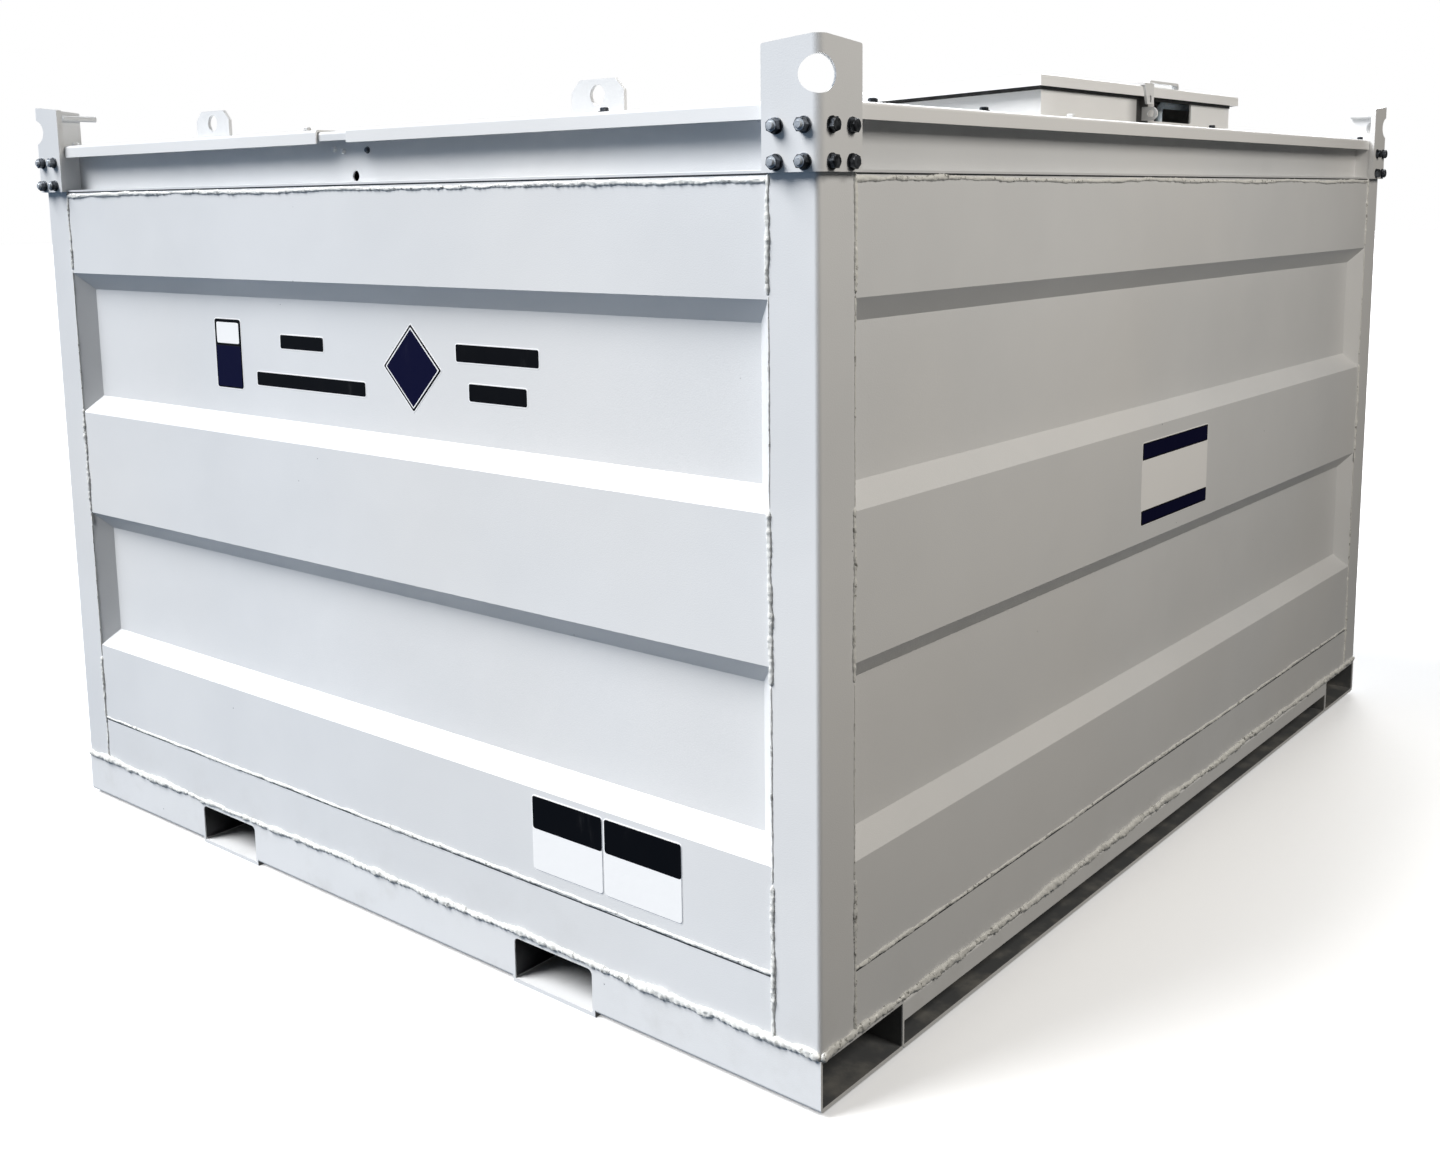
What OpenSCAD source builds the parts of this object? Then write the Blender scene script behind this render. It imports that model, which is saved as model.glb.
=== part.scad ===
// Bunded diesel fuel tank: a rectangular welded steel tank with pressed walls, a base with two fork
// pockets, four bolted lifting brackets, four lifting lugs and a hinged fill hatch on the roof.
// Frame: origin on the floor under the middle of the tank, X across the front, Y from the front (-Y)
// to the back (+Y), Z up. Millimetres.

/* [Tank] */
// Width of the tank across its front, over the wall faces
tank_l = 2200; // [1900:10:2600]
// Depth of the tank from front to back, over the wall faces
tank_w = 2624; // [2300:4:3200]
// Height of the floor's upper face above the ground
floor_z = 96; // [90:1:130]
// Height of the walls' top edge above the ground
wall_top_z = 1459; // [1420:1:1800]
// Thickness of the wall sheets
sheet_t = 4; // [3:0.5:6]
// Height of the seam between a pressed wall and the strip under it
seam_z = 212; // [180:1:260]

/* [Pressed walls] */
// Height of the lower panel's bottom crease
panel_1_z = 391; // [340:1:420]
// Height of the upper panel's bottom crease
panel_2_z = 952; // [900:1:1000]
// Height of each pressed panel, crease to crease
panel_h = 323; // [240:1:360]
// Depth of the pressed panels
panel_depth = 32; // [20:1:45]
// Run of the sloping border round each pressed panel
panel_run = 38; // [25:1:50]

/* [Corner posts] */
// Width of each leg of a folded corner post
post_leg = 92; // [80:1:94]
// Thickness of a corner post
post_t = 4; // [3:0.5:6]
// Inside bend radius of a corner post
post_r = 4; // [3:1:12]

/* [Base] */
// Depth of the front and back base beams
beam_w = 240; // [200:5:300]
// Thickness of the folded base beams and side channels
beam_t = 5; // [4:0.5:7]
// Inside bend radius of the folded base beams
beam_r = 2; // [1:1:10]
// Thickness of the tank floor
floor_t = 5; // [4:0.5:8]
// Height of the folded skirt on the left and right edges of the floor
skirt_h = 38; // [30:1:50]
// Set-back of the side channels' web behind the wall face
web_set = 50; // [40:1:90]

/* [Fork pockets] */
// Clear width of a fork pocket
pocket_w = 197; // [160:1:230]
// Distance between the two fork pockets, centre to centre
pocket_pitch = 1016; // [800:4:1200]
// Thickness of a fork pocket's side walls
pocket_t = 6; // [4:0.5:8]
// Thickness of a fork pocket's bottom plate, which lies under the base beams
pocket_floor = 8; // [6:1:12]
// Inside corner radius at the top of a fork pocket
pocket_r = 10; // [4:1:16]

/* [Top rails] */
// Height of the top rails from the walls' top edge to the roof plate
rail_h = 95; // [80:1:120]
// Set-back of the rails' web behind the wall face
rail_set = 35; // [28:1:50]
// Thickness of the rail sheet
rail_t = 4; // [3:0.5:6]
// Inside bend radius of rails, roof and caps
fold_r = 2; // [1:0.5:5]

/* [Roof] */
// Thickness of the roof plate
roof_t = 4; // [3:0.5:6]
// Height of the roof plate's folded edge
roof_lip = 17; // [12:1:22]
// Thickness of the angle strips that cap the roof's edges
cap_t = 4; // [3:0.5:6]
// Width of a cap strip on the roof
cap_w = 45; // [35:1:60]
// Height of a cap strip on the wall face
cap_lip = 26; // [20:1:32]
// Clearance between a cap strip and the roof plate's folded edge
cap_clear = 1; // [0.5:0.1:2]
// Length of the gap between the two front cap strips
cap_gap = 91; // [60:1:140]
// Distance of that gap's middle to the left of the tank's middle
cap_gap_x = 20; // [0:1:60]
// Distance from a cap strip's end to the bracket beside it
cap_end = 2; // [1:1:12]

/* [Corner brackets] */
// Width of each leg of a corner bracket, measured from the wall face
bracket_leg = 93; // [90:1:130]
// Height of a corner bracket at its fold
bracket_h = 191; // [180:1:210]
// Thickness of a corner bracket
bracket_t = 12; // [8:0.5:14]
// Inner radius of a corner bracket's fold
bracket_r = 2; // [1:0.5:6]
// Fall of the bracket's top edge from the fold to the leg's end
bracket_fall = 8; // [2:1:15]
// Diameter of the lifting hole through the bracket's fold
eye_d = 55; // [40:1:60]
// Height of the lifting hole above the bracket's bottom edge
eye_up = 136; // [128:1:145]

/* [Lifting lugs] */
// Width of a lifting lug
lug_w = 121; // [100:1:150]
// Height of a lifting lug above the roof
lug_h = 66; // [62:1:80]
// Thickness of a lifting lug
lug_t = 7; // [6:1:16]
// Diameter of the hole in a lifting lug
lug_hole_d = 34; // [24:1:38]
// Height of the hole's centre above the roof
lug_hole_up = 40; // [34:1:42]
// Size of the cut corners of a lifting lug
lug_cut = 20; // [10:1:24]
// Distance between the two lugs along a side
lug_pitch = 1140; // [900:4:1300]
// Distance of the lugs' middle behind the wall face
lug_in = 109; // [90:1:140]

/* [Hatch] */
// Length of the hatch lid from front to back
lid_len = 976; // [800:4:1100]
// Width of the hatch lid from its hinges to its free edge
lid_wid = 600; // [540:4:700]
// Thickness of the lid sheet
lid_t = 3; // [2:0.5:4]
// Height of the lid's folded rim
lid_rim = 22; // [18:1:28]
// Overhang of the lid past the hatch box at its free edge and at its hinges
lid_over = 12; // [10:1:26]
// Overhang of the lid past the hatch box at its two ends
lid_over_y = 24; // [12:1:30]
// Distance of the lid's free edge behind the right wall face
lid_in = 85; // [80:1:120]
// Height of the lid's free edge above the roof
lid_rise = 89; // [84:1:120]
// Fall of the lid towards its hinges, in degrees
lid_slope = 2; // [0:0.1:2.5]
// Thickness of the hatch box walls
box_t = 4; // [3:0.5:5]
// Length of the hose slot in the hatch box
slot_len = 199; // [140:1:240]
// Distance of the slot's near end behind the middle of the hatch
slot_y = 44; // [36:1:80]
// Height of the hose slot's sill above the roof
slot_sill = 19; // [12:1:24]
// Corner radius of the hose slot
slot_r = 5; // [2:1:8]
// Diameter of the hinge pins
pin_d = 8; // [6:1:10]
// Length of one hinge over its three knuckles
hinge_len = 90; // [66:3:120]
// Distance of each hinge from the ends of the lid
hinge_in = 160; // [100:5:200]

/* [Hatch fittings] */
// Diameter of the staple's round end
staple_d = 28; // [22:1:34]
// Diameter of the staple's eye
staple_eye = 15; // [10:1:18]
// Thickness of the staple and the lock strap
strap_t = 5; // [4:0.5:6]
// Width of the lock strap where it hangs over the rim
strap_w = 46; // [36:1:56]
// Length of the lid's handle
handle_len = 151; // [120:1:180]
// Thickness of the handle's flat bar
handle_t = 5; // [4:0.5:8]
// Diameter of the pipe in the hatch
pipe_d = 14; // [10:1:20]
// Diameter of the fill cap
fill_d = 110; // [80:1:140]
// Diameter of the dip cap
dip_d = 60; // [40:1:80]
// Diameter of the lashing bars on the brackets
bar_d = 13; // [10:1:16]

/* [Hidden] */
$fn = 64;

// Side numbers; a corner has the number of the side that ends there, seen anticlockwise
FRONT = 0;
RIGHT = 1;
BACK = 2;
LEFT = 3;

white_paint = [0.86, 0.88, 0.90];
galvanised = [0.55, 0.57, 0.58];

// How far a cut reaches past the faces that it opens
eps = 1;
// Gap between faces that seat on each other with a seal between them
seat = 0.3;

beam_z = pocket_floor;
floor_low_z = floor_z - floor_t;
roof_low_z = wall_top_z + rail_h;
roof_z = roof_low_z + roof_t;
cap_z = roof_z + cap_t;

// Set-back of the roof plate's folded edge behind the wall face
roof_edge = cap_t + cap_clear;

function side_len(side) = side % 2 == 0 ? tank_l : tank_w;
function side_out(side) = side % 2 == 0 ? tank_w / 2 : tank_l / 2;

// Places a piece drawn along the front face, with its outer face at y = 0, on any side
module on_side(side)
    rotate([0, 0, 90 * side]) translate([0, -side_out(side), 0]) children();

// Places a piece drawn at the front right corner, with the corner at the origin, on any corner
module on_corner(corner)
    rotate([0, 0, 90 * corner])
        translate([side_out(corner + 1), -side_out(corner), 0]) children();

// Extrudes a profile drawn in (y, z) along x, centred
module along_x(length)
    translate([-length / 2, 0, 0]) rotate([90, 0, 90]) linear_extrude(length) children();

// Extrudes a profile drawn in (x, z) along y, centred
module along_y(length)
    translate([0, length / 2, 0]) rotate([90, 0, 0]) linear_extrude(length) children();

// A rectangle between two opposite corners
module box_2d(p, q)
    translate([min(p[0], q[0]), min(p[1], q[1])]) square([abs(q[0] - p[0]), abs(q[1] - p[1])]);

function leg_dir(path, i) = (path[i + 1] - path[i]) / norm(path[i + 1] - path[i]);

// Cross-section of a folded sheet: its centre line in right-angled legs, with rounded bends.
// Each bend is a square corner with a fillet added inside and its outer corner cut round.
module folded_profile(path, t, r_in) {
    rc = r_in + t / 2;
    last = len(path) - 2;
    difference() {
        union() {
            for (i = [0 : last]) {
                d = leg_dir(path, i);
                n = [-d[1], d[0]] * t / 2;
                box_2d(path[i] - d * (i == 0 ? 0 : t / 2) + n, path[i + 1] + d * (i == last ? 0 : t / 2) - n);
            }
            for (i = [0 : last - 1]) {
                c = bend_centre(path, i, rc);
                difference() {
                    box_2d(path[i + 1], c);
                    translate(c) circle(r_in);
                }
            }
        }
        for (i = [0 : last - 1]) {
            c = bend_centre(path, i, rc);
            outer = path[i + 1] + (leg_dir(path, i) - leg_dir(path, i + 1)) * (t / 2 + eps);
            difference() {
                box_2d(outer, c);
                translate(c) circle(r_in + t);
            }
        }
    }
}

function bend_centre(path, i, rc) = path[i + 1] + (leg_dir(path, i + 1) - leg_dir(path, i)) * rc;

// A rectangle from (x0, z0) to (x1, z1) with its two upper corners rounded
module round_top(x0, x1, z0, z1, r) {
    translate([x0, z0]) square([x1 - x0, z1 - z0 - r]);
    translate([x0 + r, z0]) square([x1 - x0 - 2 * r, z1 - z0]);
    for (x = [x0 + r, x1 - r]) translate([x, z1 - r]) circle(r);
}

pocket_out_w = pocket_w + 2 * pocket_t;

// The space of both fork pockets, cut out of what they pass through
module pocket_cuts()
    for (x = [-1, 1])
        translate([x * pocket_pitch / 2 - pocket_out_w / 2, -tank_w / 2 - eps, -eps])
            cube([pocket_out_w, tank_w + 2 * eps, floor_low_z + eps]);

// Folded channel under the front or back wall, open at both ends
module base_beam(side)
    color(white_paint)
    difference() {
        on_side(side)
            along_x(tank_l)
                folded_profile([
                    [beam_t / 2, floor_z],
                    [beam_t / 2, beam_z + beam_t / 2],
                    [beam_w - beam_t / 2, beam_z + beam_t / 2],
                    [beam_w - beam_t / 2, floor_low_z]
                ], beam_t, beam_r);
        pocket_cuts();
    }

// Side channel between the base beams, with its web set back under the floor
module base_channel(side)
    color(white_paint)
    on_side(side)
        along_x(side_len(side) - 2 * beam_w)
            folded_profile([
                [floor_t + beam_r, floor_low_z - beam_t / 2],
                [web_set + beam_t / 2, floor_low_z - beam_t / 2],
                [web_set + beam_t / 2, beam_z + beam_t / 2],
                [0, beam_z + beam_t / 2]
            ], beam_t, beam_r);

// Fork pocket: a channel from front to back with rounded upper corners, closed by a bottom plate
module fork_pocket(x)
    color(white_paint)
    translate([x * pocket_pitch / 2, 0, 0])
        along_y(tank_w)
            difference() {
                translate([-pocket_out_w / 2, 0]) square([pocket_out_w, floor_low_z]);
                round_top(-pocket_w / 2, pocket_w / 2, pocket_floor, floor_low_z - pocket_t / 2, pocket_r);
            }

// Tank floor with a folded skirt along its left and right edges, between the base beams
module floor_pan() {
    fold = beam_r + floor_t;
    color(white_paint) {
        translate([-tank_l / 2, -tank_w / 2 + beam_t, floor_low_z])
            difference() {
                cube([tank_l, tank_w - 2 * beam_t, floor_t]);
                for (x = [-eps, tank_l - fold])
                    translate([x, beam_w - beam_t, -eps])
                        cube([fold + eps, tank_w - 2 * beam_w, floor_t + 2 * eps]);
            }
        for (side = [RIGHT, LEFT])
            on_side(side)
                along_x(tank_w - 2 * beam_w)
                    folded_profile([
                        [floor_t / 2, floor_z - skirt_h],
                        [floor_t / 2, floor_z - floor_t / 2],
                        [fold + eps, floor_z - floor_t / 2]
                    ], floor_t, beam_r);
    }
}

// Folded angle at a corner, with plates that close the ends of the rail channels
module corner_post(corner)
    color(white_paint)
    on_corner(corner) {
        translate([0, 0, floor_z])
            linear_extrude(cap_z - floor_z)
                folded_profile([
                    [-post_leg, post_t / 2],
                    [-post_t / 2, post_t / 2],
                    [-post_t / 2, post_leg]
                ], post_t, post_r);
        translate([-post_leg, post_t / 2, wall_top_z])
            cube([post_t, rail_set - post_t / 2, cap_z - wall_top_z]);
        translate([-rail_set, post_leg - post_t, wall_top_z])
            cube([rail_set - post_t / 2, post_t, cap_z - wall_top_z]);
    }

// Plain strip between the floor and a pressed wall
module lower_strip(side)
    color(white_paint)
    on_side(side)
        translate([-side_len(side) / 2 + post_leg, 0, floor_z])
            cube([side_len(side) - 2 * post_leg, sheet_t, seam_z - floor_z]);

// A frustum with its large face at y = y0: a trapezoid in plan crossed with one in section
module panel_frustum(w, z0, h, y0, grow) {
    half = w / 2 + grow;
    y1 = y0 + panel_depth;
    intersection() {
        translate([0, 0, z0 - grow - eps])
            linear_extrude(h + 2 * grow + 2 * eps)
                polygon([[-half, y0], [half, y0], [half - panel_run, y1], [-half + panel_run, y1]]);
        along_x(w + 2 * grow + 2 * eps)
            polygon([
                [y0, z0 - grow], [y0, z0 + h + grow],
                [y1, z0 + h + grow - panel_run], [y1, z0 - grow + panel_run]
            ]);
    }
}

// Outer wall with two pressed-in panels: a slab and two thickened frustums, less the frustums
module pressed_wall(side) {
    w = side_len(side) - 2 * post_leg;
    grow = sheet_t * tan(atan2(panel_depth, panel_run) / 2);
    color(white_paint)
    on_side(side)
        difference() {
            intersection() {
                union() {
                    translate([-w / 2, 0, seam_z]) cube([w, sheet_t, wall_top_z - seam_z]);
                    for (z = [panel_1_z, panel_2_z]) panel_frustum(w, z, panel_h, sheet_t, grow);
                }
                translate([-w / 2, -eps, seam_z]) cube([w, panel_depth * 2, wall_top_z - seam_z]);
            }
            for (z = [panel_1_z, panel_2_z]) panel_frustum(w, z, panel_h, 0, 0);
        }
}

// Drain hole through the front rail, near the gap between the cap strips
drain_d = 20;
drain_up = 16;
drain_x = -cap_gap_x + cap_gap / 2 - 20;

// Channel on top of a wall: bottom ledge flush with the wall, set-back web and top flange
module top_rail(side)
    color(white_paint)
    on_side(side)
        difference() {
            along_x(side_len(side) - 2 * post_leg)
                folded_profile([
                    [0, wall_top_z + rail_t / 2],
                    [rail_set + rail_t / 2, wall_top_z + rail_t / 2],
                    [rail_set + rail_t / 2, roof_low_z - rail_t / 2],
                    [roof_edge + roof_t + fold_r, roof_low_z - rail_t / 2]
                ], rail_t, fold_r);
            if (side == FRONT)
                translate([drain_x, rail_set - eps, wall_top_z + drain_up])
                    rotate([-90, 0, 0]) cylinder(d = drain_d, h = rail_t + 2 * eps);
        }

box_len = lid_len - 2 * lid_over_y;
box_wid = lid_wid - 2 * lid_over;
lid_edge_x = tank_l / 2 - lid_in;
box_x1 = lid_edge_x - lid_over;
box_x0 = box_x1 - box_wid;
lid_z = roof_z + lid_rise;

// Plan of what a post takes up at the corner of the roof plate
module corner_notch() {
    bend = post_t + post_r;
    difference() {
        translate([-bend, -eps]) square([bend + eps, bend + eps]);
        translate([-bend, bend]) circle(post_r);
    }
    translate([-post_leg, -eps]) square([post_t, rail_set + eps]);
    translate([-rail_set, post_leg - post_t]) square([rail_set + eps, post_t]);
}

// Roof plate with folded edges between the posts, and its corners cut to fit inside them
module roof_plate() {
    fold = roof_edge + roof_t + fold_r;
    color(white_paint) {
        translate([0, 0, roof_low_z])
            linear_extrude(roof_t)
                difference() {
                    square([tank_l - 2 * post_t, tank_w - 2 * post_t], center = true);
                    for (corner = [0 : 3])
                        rotate(90 * corner)
                            translate([side_out(corner + 1), -side_out(corner)]) corner_notch();
                    for (side = [0 : 3])
                        rotate(90 * side)
                            translate([-side_len(side) / 2 + post_leg, -side_out(side)])
                                square([side_len(side) - 2 * post_leg, fold]);
                }
        for (side = [0 : 3])
            on_side(side)
                along_x(side_len(side) - 2 * post_leg)
                    folded_profile([
                        [roof_edge + roof_t / 2, roof_z - roof_lip],
                        [roof_edge + roof_t / 2, roof_z - roof_t / 2],
                        [fold + eps, roof_z - roof_t / 2]
                    ], roof_t, fold_r);
    }
}

cap_inset = bracket_leg + cap_end;

// One angle strip over the roof's edge, from x0 to x1 along its side
module cap_strip(x0, x1)
    translate([(x0 + x1) / 2, 0, 0])
        along_x(x1 - x0)
            folded_profile([
                [cap_t / 2, cap_z - cap_lip],
                [cap_t / 2, cap_z - cap_t / 2],
                [cap_w, cap_z - cap_t / 2]
            ], cap_t, fold_r);

module side_cap(side)
    color(white_paint)
    on_side(side)
        cap_strip(-side_len(side) / 2 + cap_inset, side_len(side) / 2 - cap_inset);

// Two strips with a gap between them
module split_caps(side)
    color(white_paint)
    on_side(side) {
        cap_strip(-side_len(side) / 2 + cap_inset, -cap_gap_x - cap_gap / 2);
        cap_strip(-cap_gap_x + cap_gap / 2, side_len(side) / 2 - cap_inset);
    }

corner_cut_r = 3;

// One leg of a bracket, with the fold at x = 0: its top edge falls towards the free end
module bracket_leg_shape() {
    end = bracket_leg + bracket_t;
    level = end * 0.15;
    difference() {
        polygon([
            [0, 0], [end, 0], [end, bracket_h - bracket_fall], [level, bracket_h], [0, bracket_h]
        ]);
        translate([end - corner_cut_r, bracket_h - bracket_fall - corner_cut_r])
            difference() {
                square([corner_cut_r + eps, corner_cut_r + bracket_fall]);
                circle(corner_cut_r);
            }
    }
}

// Bent plate over a corner, proud of the post, with a hole through its fold for a shackle
module corner_bracket(corner) {
    depth = bracket_leg + bracket_t + 2 * eps;
    color(white_paint)
    on_corner(corner)
        translate([0, 0, wall_top_z])
            difference() {
                intersection() {
                    linear_extrude(bracket_h)
                        folded_profile([
                            [-bracket_leg, -bracket_t / 2],
                            [bracket_t / 2, -bracket_t / 2],
                            [bracket_t / 2, bracket_leg]
                        ], bracket_t, bracket_r);
                    translate([bracket_t, bracket_leg + eps, 0])
                        rotate([90, 0, 0]) linear_extrude(depth) mirror([1, 0]) bracket_leg_shape();
                    translate([-bracket_leg - eps, -bracket_t, 0])
                        rotate([90, 0, 90])
                            linear_extrude(depth) bracket_leg_shape();
                }
                translate([0, 0, eye_up])
                    rotate([90, 0, 45]) cylinder(d = eye_d, h = 4 * eye_d, center = true);
            }
}

bar_z = wall_top_z + bracket_h - bracket_fall - bar_d;
bar_past = 35;

// Round bars on the inner faces of two brackets; the one on the left stands out past its leg
module lashing_bars()
    color(white_paint) {
        on_corner(3)
            translate([-bracket_leg - bar_past, bar_d / 2, bar_z])
                rotate([0, 90, 0]) cylinder(d = bar_d, h = bracket_leg / 2 + bar_past);
        on_corner(1)
            translate([-bar_d / 2, bracket_leg / 4, bar_z])
                rotate([-90, 0, 0]) cylinder(d = bar_d, h = bracket_leg * 0.6);
    }

// Two plates with cut corners and a round hole, standing on the roof behind the wall
module lifting_lugs(side)
    color(white_paint)
    on_side(side)
        for (x = [-1, 1])
            translate([x * lug_pitch / 2, lug_in + lug_t / 2, roof_z])
                rotate([90, 0, 0])
                    linear_extrude(lug_t)
                        difference() {
                            polygon([
                                [-lug_w / 2, 0], [lug_w / 2, 0],
                                [lug_w / 2, lug_h - lug_cut], [lug_w / 2 - lug_cut, lug_h],
                                [-lug_w / 2 + lug_cut, lug_h], [-lug_w / 2, lug_h - lug_cut]
                            ]);
                            translate([0, lug_hole_up]) circle(d = lug_hole_d);
                        }

// Turns a piece drawn with the lid's free edge at x = 0 and its top at z = 0 into the lid's slope
module on_lid()
    translate([lid_edge_x, 0, lid_z]) rotate([0, -lid_slope, 0]) children();

function lid_to_x(x, z) = lid_edge_x + x * cos(lid_slope) - z * sin(lid_slope);
function lid_to_z(x, z) = lid_z + x * sin(lid_slope) + z * cos(lid_slope);

// Upstand round the hatch, cut to the lid's slope, with a slot for a hose in its outer wall
module hatch_box()
    color(white_paint)
    difference() {
        translate([box_x0, -box_len / 2, roof_z]) cube([box_wid, box_len, lid_rise]);
        translate([box_x0 + box_t, -box_len / 2 + box_t, roof_z - eps])
            cube([box_wid - 2 * box_t, box_len - 2 * box_t, lid_rise + 2 * eps]);
        on_lid()
            translate([-2 * lid_wid, -lid_len, -lid_t - seat])
                cube([3 * lid_wid, 2 * lid_len, 2 * lid_rise]);
        translate([box_x1 - box_t - eps, 0, 0])
            rotate([90, 0, 90])
                linear_extrude(box_t + 2 * eps)
                    translate([slot_y, roof_z + slot_sill]) {
                        translate([slot_r, 0]) square([slot_len - 2 * slot_r, lid_rise]);
                        translate([0, slot_r]) square([slot_len, lid_rise]);
                        for (y = [slot_r, slot_len - slot_r])
                            translate([y, slot_r]) circle(slot_r);
                    }
    }

lid_bend = lid_t + 2;

// The lid's outer form, or its hollow where inset by the sheet's thickness
module lid_form(inset)
    intersection() {
        translate([-lid_wid / 2, 0, 0])
            along_y(lid_len - 2 * inset)
                round_top(-lid_wid / 2 + inset, lid_wid / 2 - inset, -lid_rim - inset, -inset, lid_bend - inset);
        translate([-lid_wid / 2, 0, 0])
            along_x(lid_wid - 2 * inset)
                round_top(-lid_len / 2 + inset, lid_len / 2 - inset, -lid_rim - inset, -inset, lid_bend - inset);
    }

// Lid folded from one sheet, with a rim all round
module hatch_lid()
    color(white_paint)
    on_lid()
        difference() {
            lid_form(0);
            lid_form(lid_t);
        }

// Hinges: the pins lie outside the lid's rim, just under its top face
knuckle_d = 2 * pin_d;
knuckle_gap = 0.5;
pin_clear = 0.1;
lid_clear = 5;
leaf_t = 5;
pin_x = -lid_wid - knuckle_d / 2 - 1;
pin_z = -knuckle_d / 2;
knuckle_len = (hinge_len - 2 * knuckle_gap) / 3;
hinge_y = lid_len / 2 - hinge_in;

// Fixed halves: a bent leaf on the hatch box, two knuckles and the pin
module box_hinges() {
    px = lid_to_x(pin_x, pin_z);
    pz = lid_to_z(pin_x, pin_z);
    leaf_z = lid_to_z(-lid_wid, -lid_rim) - lid_clear - leaf_t;
    color(white_paint)
    for (side = [-1, 1])
        translate([0, side * hinge_y, 0]) {
            translate([px - leaf_t / 2, -hinge_len / 2, leaf_z])
                cube([box_x0 - px + leaf_t / 2, hinge_len, leaf_t]);
            translate([px, 0, pz]) rotate([90, 0, 0]) cylinder(d = pin_d, h = hinge_len, center = true);
            for (end = [-1, 1])
                translate([px, end * (hinge_len - knuckle_len) / 2, 0]) {
                    translate([0, 0, pz])
                        rotate([90, 0, 0]) cylinder(d = knuckle_d, h = knuckle_len, center = true);
                    translate([-leaf_t / 2, -knuckle_len / 2, leaf_z])
                        cube([leaf_t, knuckle_len, pz - leaf_z]);
                }
        }
}

// Moving halves: the middle knuckle with its bore, and a leaf on the lid's rim
module lid_hinges()
    color(white_paint)
    for (side = [-1, 1])
        on_lid()
            translate([pin_x, side * hinge_y, pin_z])
                difference() {
                    union() {
                        rotate([90, 0, 0]) cylinder(d = knuckle_d, h = knuckle_len, center = true);
                        translate([0, -knuckle_len / 2, -leaf_t])
                            cube([-lid_wid - pin_x, knuckle_len, leaf_t]);
                    }
                    rotate([90, 0, 0])
                        cylinder(d = pin_d + 2 * pin_clear, h = knuckle_len + 2 * eps, center = true);
                }

strap_root = 58;
strap_root_w = 70;
strap_y = 4;
strap_drop = 38;
strap_taper = 12;
slit_w = 8;
slit_h = 14;
slit_y = strap_y - strap_w / 2 + strap_taper / 2 - 1;

// Strap on the lid that narrows to its free edge and hangs over the rim, above the staple
module lock_strap()
    color(white_paint)
    on_lid() {
        linear_extrude(strap_t)
            polygon([
                [-strap_root, strap_y], [strap_t, strap_y],
                [strap_t, strap_y - strap_w], [-strap_root, strap_y - strap_root_w]
            ]);
        rotate([90, 0, 90])
            linear_extrude(strap_t)
                difference() {
                    polygon([
                        [strap_y - strap_w, strap_t], [strap_y, strap_t],
                        [strap_y - 2, -strap_drop], [strap_y - strap_w + strap_taper, -strap_drop]
                    ]);
                    translate([slit_y - slit_w / 2, -strap_drop + 4]) square([slit_w, slit_h]);
                }
    }

staple_out = 20;
staple_z = lid_to_z(0, -strap_drop) - lid_clear - staple_d / 2;

// Eye plate on the hatch box for a padlock, under the lock strap
module staple()
    color(white_paint)
    translate([box_x1, slit_y + strap_t / 2, staple_z])
        rotate([90, 0, 0])
            linear_extrude(strap_t)
                difference() {
                    union() {
                        translate([0, -staple_d / 2]) square([staple_out, staple_d]);
                        translate([staple_out, 0]) circle(d = staple_d);
                    }
                    translate([staple_out, 0]) circle(d = staple_eye);
                }

handle_w = 14;
handle_gap = 8;
handle_bend = 2;

// Flat bar bent down at both ends, welded on the lid along its free edge
module lid_handle()
    color(white_paint)
    on_lid()
        translate([-lid_bend - handle_w / 2, strap_y + eps + handle_len / 2, 0])
            along_x(handle_w)
                folded_profile([
                    [-(handle_len - handle_t) / 2, 0],
                    [-(handle_len - handle_t) / 2, handle_gap + handle_t / 2],
                    [(handle_len - handle_t) / 2, handle_gap + handle_t / 2],
                    [(handle_len - handle_t) / 2, 0]
                ], handle_t, handle_bend);

pipe_in = 40;
pipe_x = box_x1 - pipe_in;
pipe_y0 = slot_y + 0.6 * slot_len;
pipe_y1 = box_len / 2 - 110;
pipe_up = lid_rise - 30;
pipe_bend = 1.5 * pipe_d;

// Small pipe in the hatch that rises from the roof, runs back and goes down again
module delivery_pipe()
    color(galvanised)
    translate([pipe_x, 0, roof_z]) {
        rise = pipe_up - pipe_bend;
        for (y = [pipe_y0, pipe_y1]) translate([0, y, 0]) cylinder(d = pipe_d, h = rise);
        translate([0, pipe_y0 + pipe_bend, rise])
            rotate([90, 0, -90]) rotate_extrude(angle = 90) translate([pipe_bend, 0]) circle(d = pipe_d);
        translate([0, pipe_y1 - pipe_bend, rise])
            rotate([90, 0, 90]) rotate_extrude(angle = 90) translate([pipe_bend, 0]) circle(d = pipe_d);
        translate([0, pipe_y0 + pipe_bend, rise + pipe_bend])
            rotate([-90, 0, 0]) cylinder(d = pipe_d, h = pipe_y1 - pipe_y0 - 2 * pipe_bend);
    }

// Fill coupling on the roof inside the hatch, with its cap on
module fill_cap()
    color(galvanised)
    translate([(box_x0 + box_x1) / 2, -box_len / 4, roof_z]) {
        cylinder(d = fill_d + 30, h = 6);
        cylinder(d = fill_d - 20, h = 30);
        translate([0, 0, 30]) cylinder(d = fill_d, h = 18);
    }

// Dip point on the roof inside the hatch, with its cap on
module dip_cap()
    color(galvanised)
    translate([(box_x0 + box_x1) / 2, box_len / 6, roof_z]) {
        cylinder(d = dip_d + 16, h = 6);
        cylinder(d = dip_d - 14, h = 26);
        translate([0, 0, 26]) cylinder(d = dip_d, h = 14);
    }

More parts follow.
